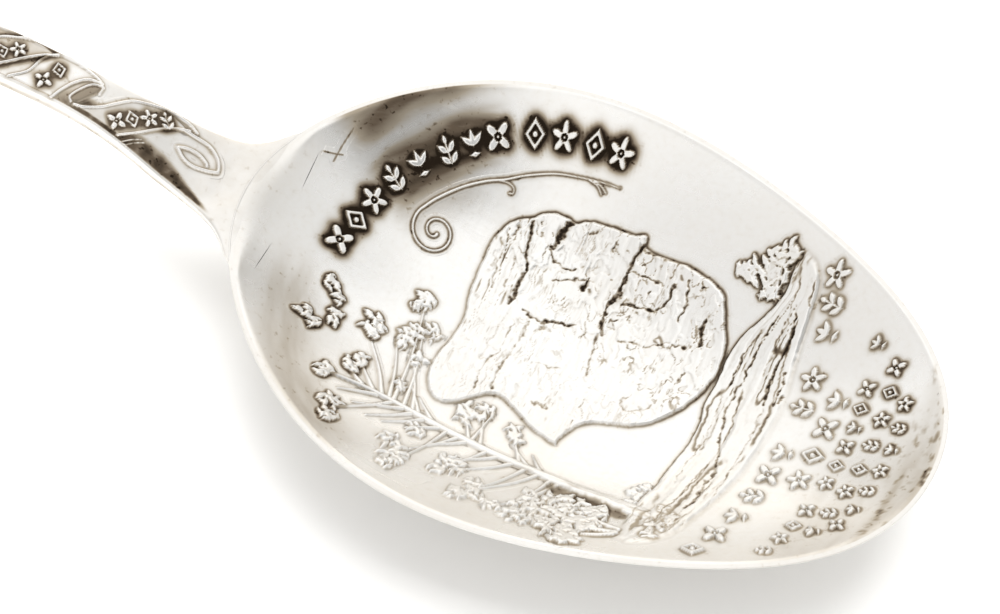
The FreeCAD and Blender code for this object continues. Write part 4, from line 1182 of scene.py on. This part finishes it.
def relief_piece(canvas, node):
    """A figure cut from the canvas with a narrow apron of ground, sunk a little into the metal."""
    height, _ = canvas.figures[node]
    body = height > 0.004
    keep = grow(body, APRON_CELLS) & canvas.allowed
    keep[[0, -1], :] = False
    keep[:, [0, -1]] = False
    cells = keep[:-1, :-1] & keep[1:, :-1] & keep[:-1, 1:] & keep[1:, 1:]
    for _ in range(3):  # cells that touch only at a corner get a neighbour
        corner = cells[:-1, :-1] & cells[1:, 1:] & ~cells[1:, :-1] & ~cells[:-1, 1:]
        cells[1:, :-1] |= corner
        corner = cells[1:, :-1] & cells[:-1, 1:] & ~cells[:-1, :-1] & ~cells[1:, 1:]
        cells[:-1, :-1] |= corner
    padded = np.pad(cells, 1)
    used = padded[:-1, :-1] | padded[1:, :-1] | padded[:-1, 1:] | padded[1:, 1:]
    near = blur(body.astype(float), 0.12)
    lift = height + APRON_LIFT - APRON_DIP * ramp(near, 0.04, 0.0)
    ground, normal = canvas.surface(canvas.x[used], canvas.y[used])
    points, faces = sheet_solid(ground + normal * lift[used][:, None], ground - normal * BURIED, used, cells)
    # the stain grid holds the bowl's tarnish with its painted reflection and shadow, and the oxide of the
    # handle's ground
    dark = np.maximum(canvas.patina_and_shade, canvas.stain * ramp(height, 0.1, 0.03))[used]
    make_piece(node + "_struck", node, points, faces, np.concatenate([dark, dark]), 2)


bowl_body()
handle_body("neck_body", "neck", np.linspace(-3.0, 9.0, 110))
handle_body("stem_body", "stem", np.linspace(9.0, 72.0, 330))
round_end = END_MIDDLE + END_LENGTH * np.sin(np.linspace(0, 1.53, 80))
handle_body("handle_end_body", "handle_end", np.append(np.linspace(72.0, END_MIDDLE, 100), round_end[1:]))
heel_drop()
for canvas in (bowl, handle):
    for figure in canvas.figures:
        relief_piece(canvas, figure)

# --- Stage, light and camera ---


def floor():
    """A pale, very smooth table top."""
    mesh = bpy.data.meshes.new("floor")
    mesh.from_pydata([(-1.5, -1.5, 0), (1.5, -1.5, 0), (1.5, 1.5, 0), (-1.5, 1.5, 0)], [], [(0, 1, 2, 3)])
    material = bpy.data.materials.new("pale_floor")
    material.use_nodes = True
    shader = material.node_tree.nodes["Principled BSDF"]
    shader.inputs["Base Color"].default_value = (0.93, 0.93, 0.925, 1)
    shader.inputs["Roughness"].default_value = 0.6
    mesh.materials.append(material)
    add_object("floor", mesh)


# What the tent shows, as (azimuth, elevation, outer radius, inner radius, colour), all angles in degrees.
TENT_HORIZON, TENT_ZENITH = (0.98, 0.97, 0.95), (1.15, 1.145, 1.13)
TENT_PLACES = [
    (-44, 38, 32, 10, (0.8, 0.795, 0.785)), (-34, 49, 24, 5, (0.34, 0.34, 0.335)),
    (57, 12, 26, 7, (0.6, 0.59, 0.57)), (24, 40, 32, 8, (0.78, 0.78, 0.77)),
    (108, 8, 45, 18, (1.25, 1.2, 1.12)), (-142, 45, 38, 18, (0.85, 0.84, 0.825)),
    (160, 10, 30, 8, (0.9, 0.89, 0.87)),
]


def toward(azimuth, elevation):
    """Unit vector towards a place in the tent."""
    a, e = math.radians(azimuth), math.radians(elevation)
    return math.cos(e) * math.cos(a), math.cos(e) * math.sin(a), math.sin(e)


def world():
    """A white tent, brightest overhead, with soft darker and lighter places in it."""
    tent = bpy.data.worlds.new("tent")
    bpy.context.scene.world = tent
    graph = Graph(tent)
    direction = graph.node("TexCoord", {}).outputs["Generated"]
    shades = [((0, 0, 1), 0.0, 0.9, TENT_ZENITH)]  # (direction, cosines where it begins and is full, colour)
    for azimuth, elevation, outer, inner, rgb in TENT_PLACES:
        low, high = math.cos(math.radians(outer)), math.cos(math.radians(inner))
        shades.append((toward(azimuth, elevation), low, high, rgb))
    colour = (*TENT_HORIZON, 1)
    for place, low, high, rgb in shades:
        dot = graph.node("VectorMath", {0: direction, 1: place}, operation="DOT_PRODUCT").outputs["Value"]
        share = graph.spread(dot, low, high, interpolation_type="SMOOTHSTEP")
        mix = graph.node("Mix", {"Factor": share, "A": colour, "B": (*rgb, 1)}, data_type="RGBA")
        colour = mix.outputs["Result"]
    graph.feed(graph.nodes["Background"].inputs["Color"], colour)


def softbox(name, place, target, size, power):
    lamp = bpy.data.lights.new(name, "AREA")
    lamp.shape = "SQUARE"
    lamp.size = size
    lamp.energy = power
    made = add_object(name, lamp)
    made.location = place
    aim = Vector(target) - Vector(place)
    made.rotation_euler = aim.to_track_quat("-Z", "Y").to_euler()
    made.visible_glossy = False  # it lights the table, and the silver shows only the tent


VIEW_AZIMUTH = math.radians(25)
VIEW_ELEVATION = math.radians(62)
VIEW_DISTANCE = 0.3
VIEW_TARGET = ((MIDDLE_X - 5.35) * MM, -0.00093, RIM_Z * MM)
LENS = 175.0


def camera():
    data = bpy.data.cameras.new("camera")
    data.lens = LENS
    data.sensor_width = 36
    made = add_object("camera", data)
    level = math.cos(VIEW_ELEVATION)
    back = (math.sin(VIEW_AZIMUTH) * level, -math.cos(VIEW_AZIMUTH) * level, math.sin(VIEW_ELEVATION))
    back = Vector(back)
    made.location = Vector(VIEW_TARGET) + VIEW_DISTANCE * back
    made.rotation_euler = back.to_track_quat("Z", "Y").to_euler()
    bpy.context.scene.camera = made


floor()
world()
softbox("overhead", (0.03, 0.25, 0.6), (0.04, 0, 0), 0.5, 4.0)
camera()
bpy.context.scene.view_settings.view_transform = "Standard"
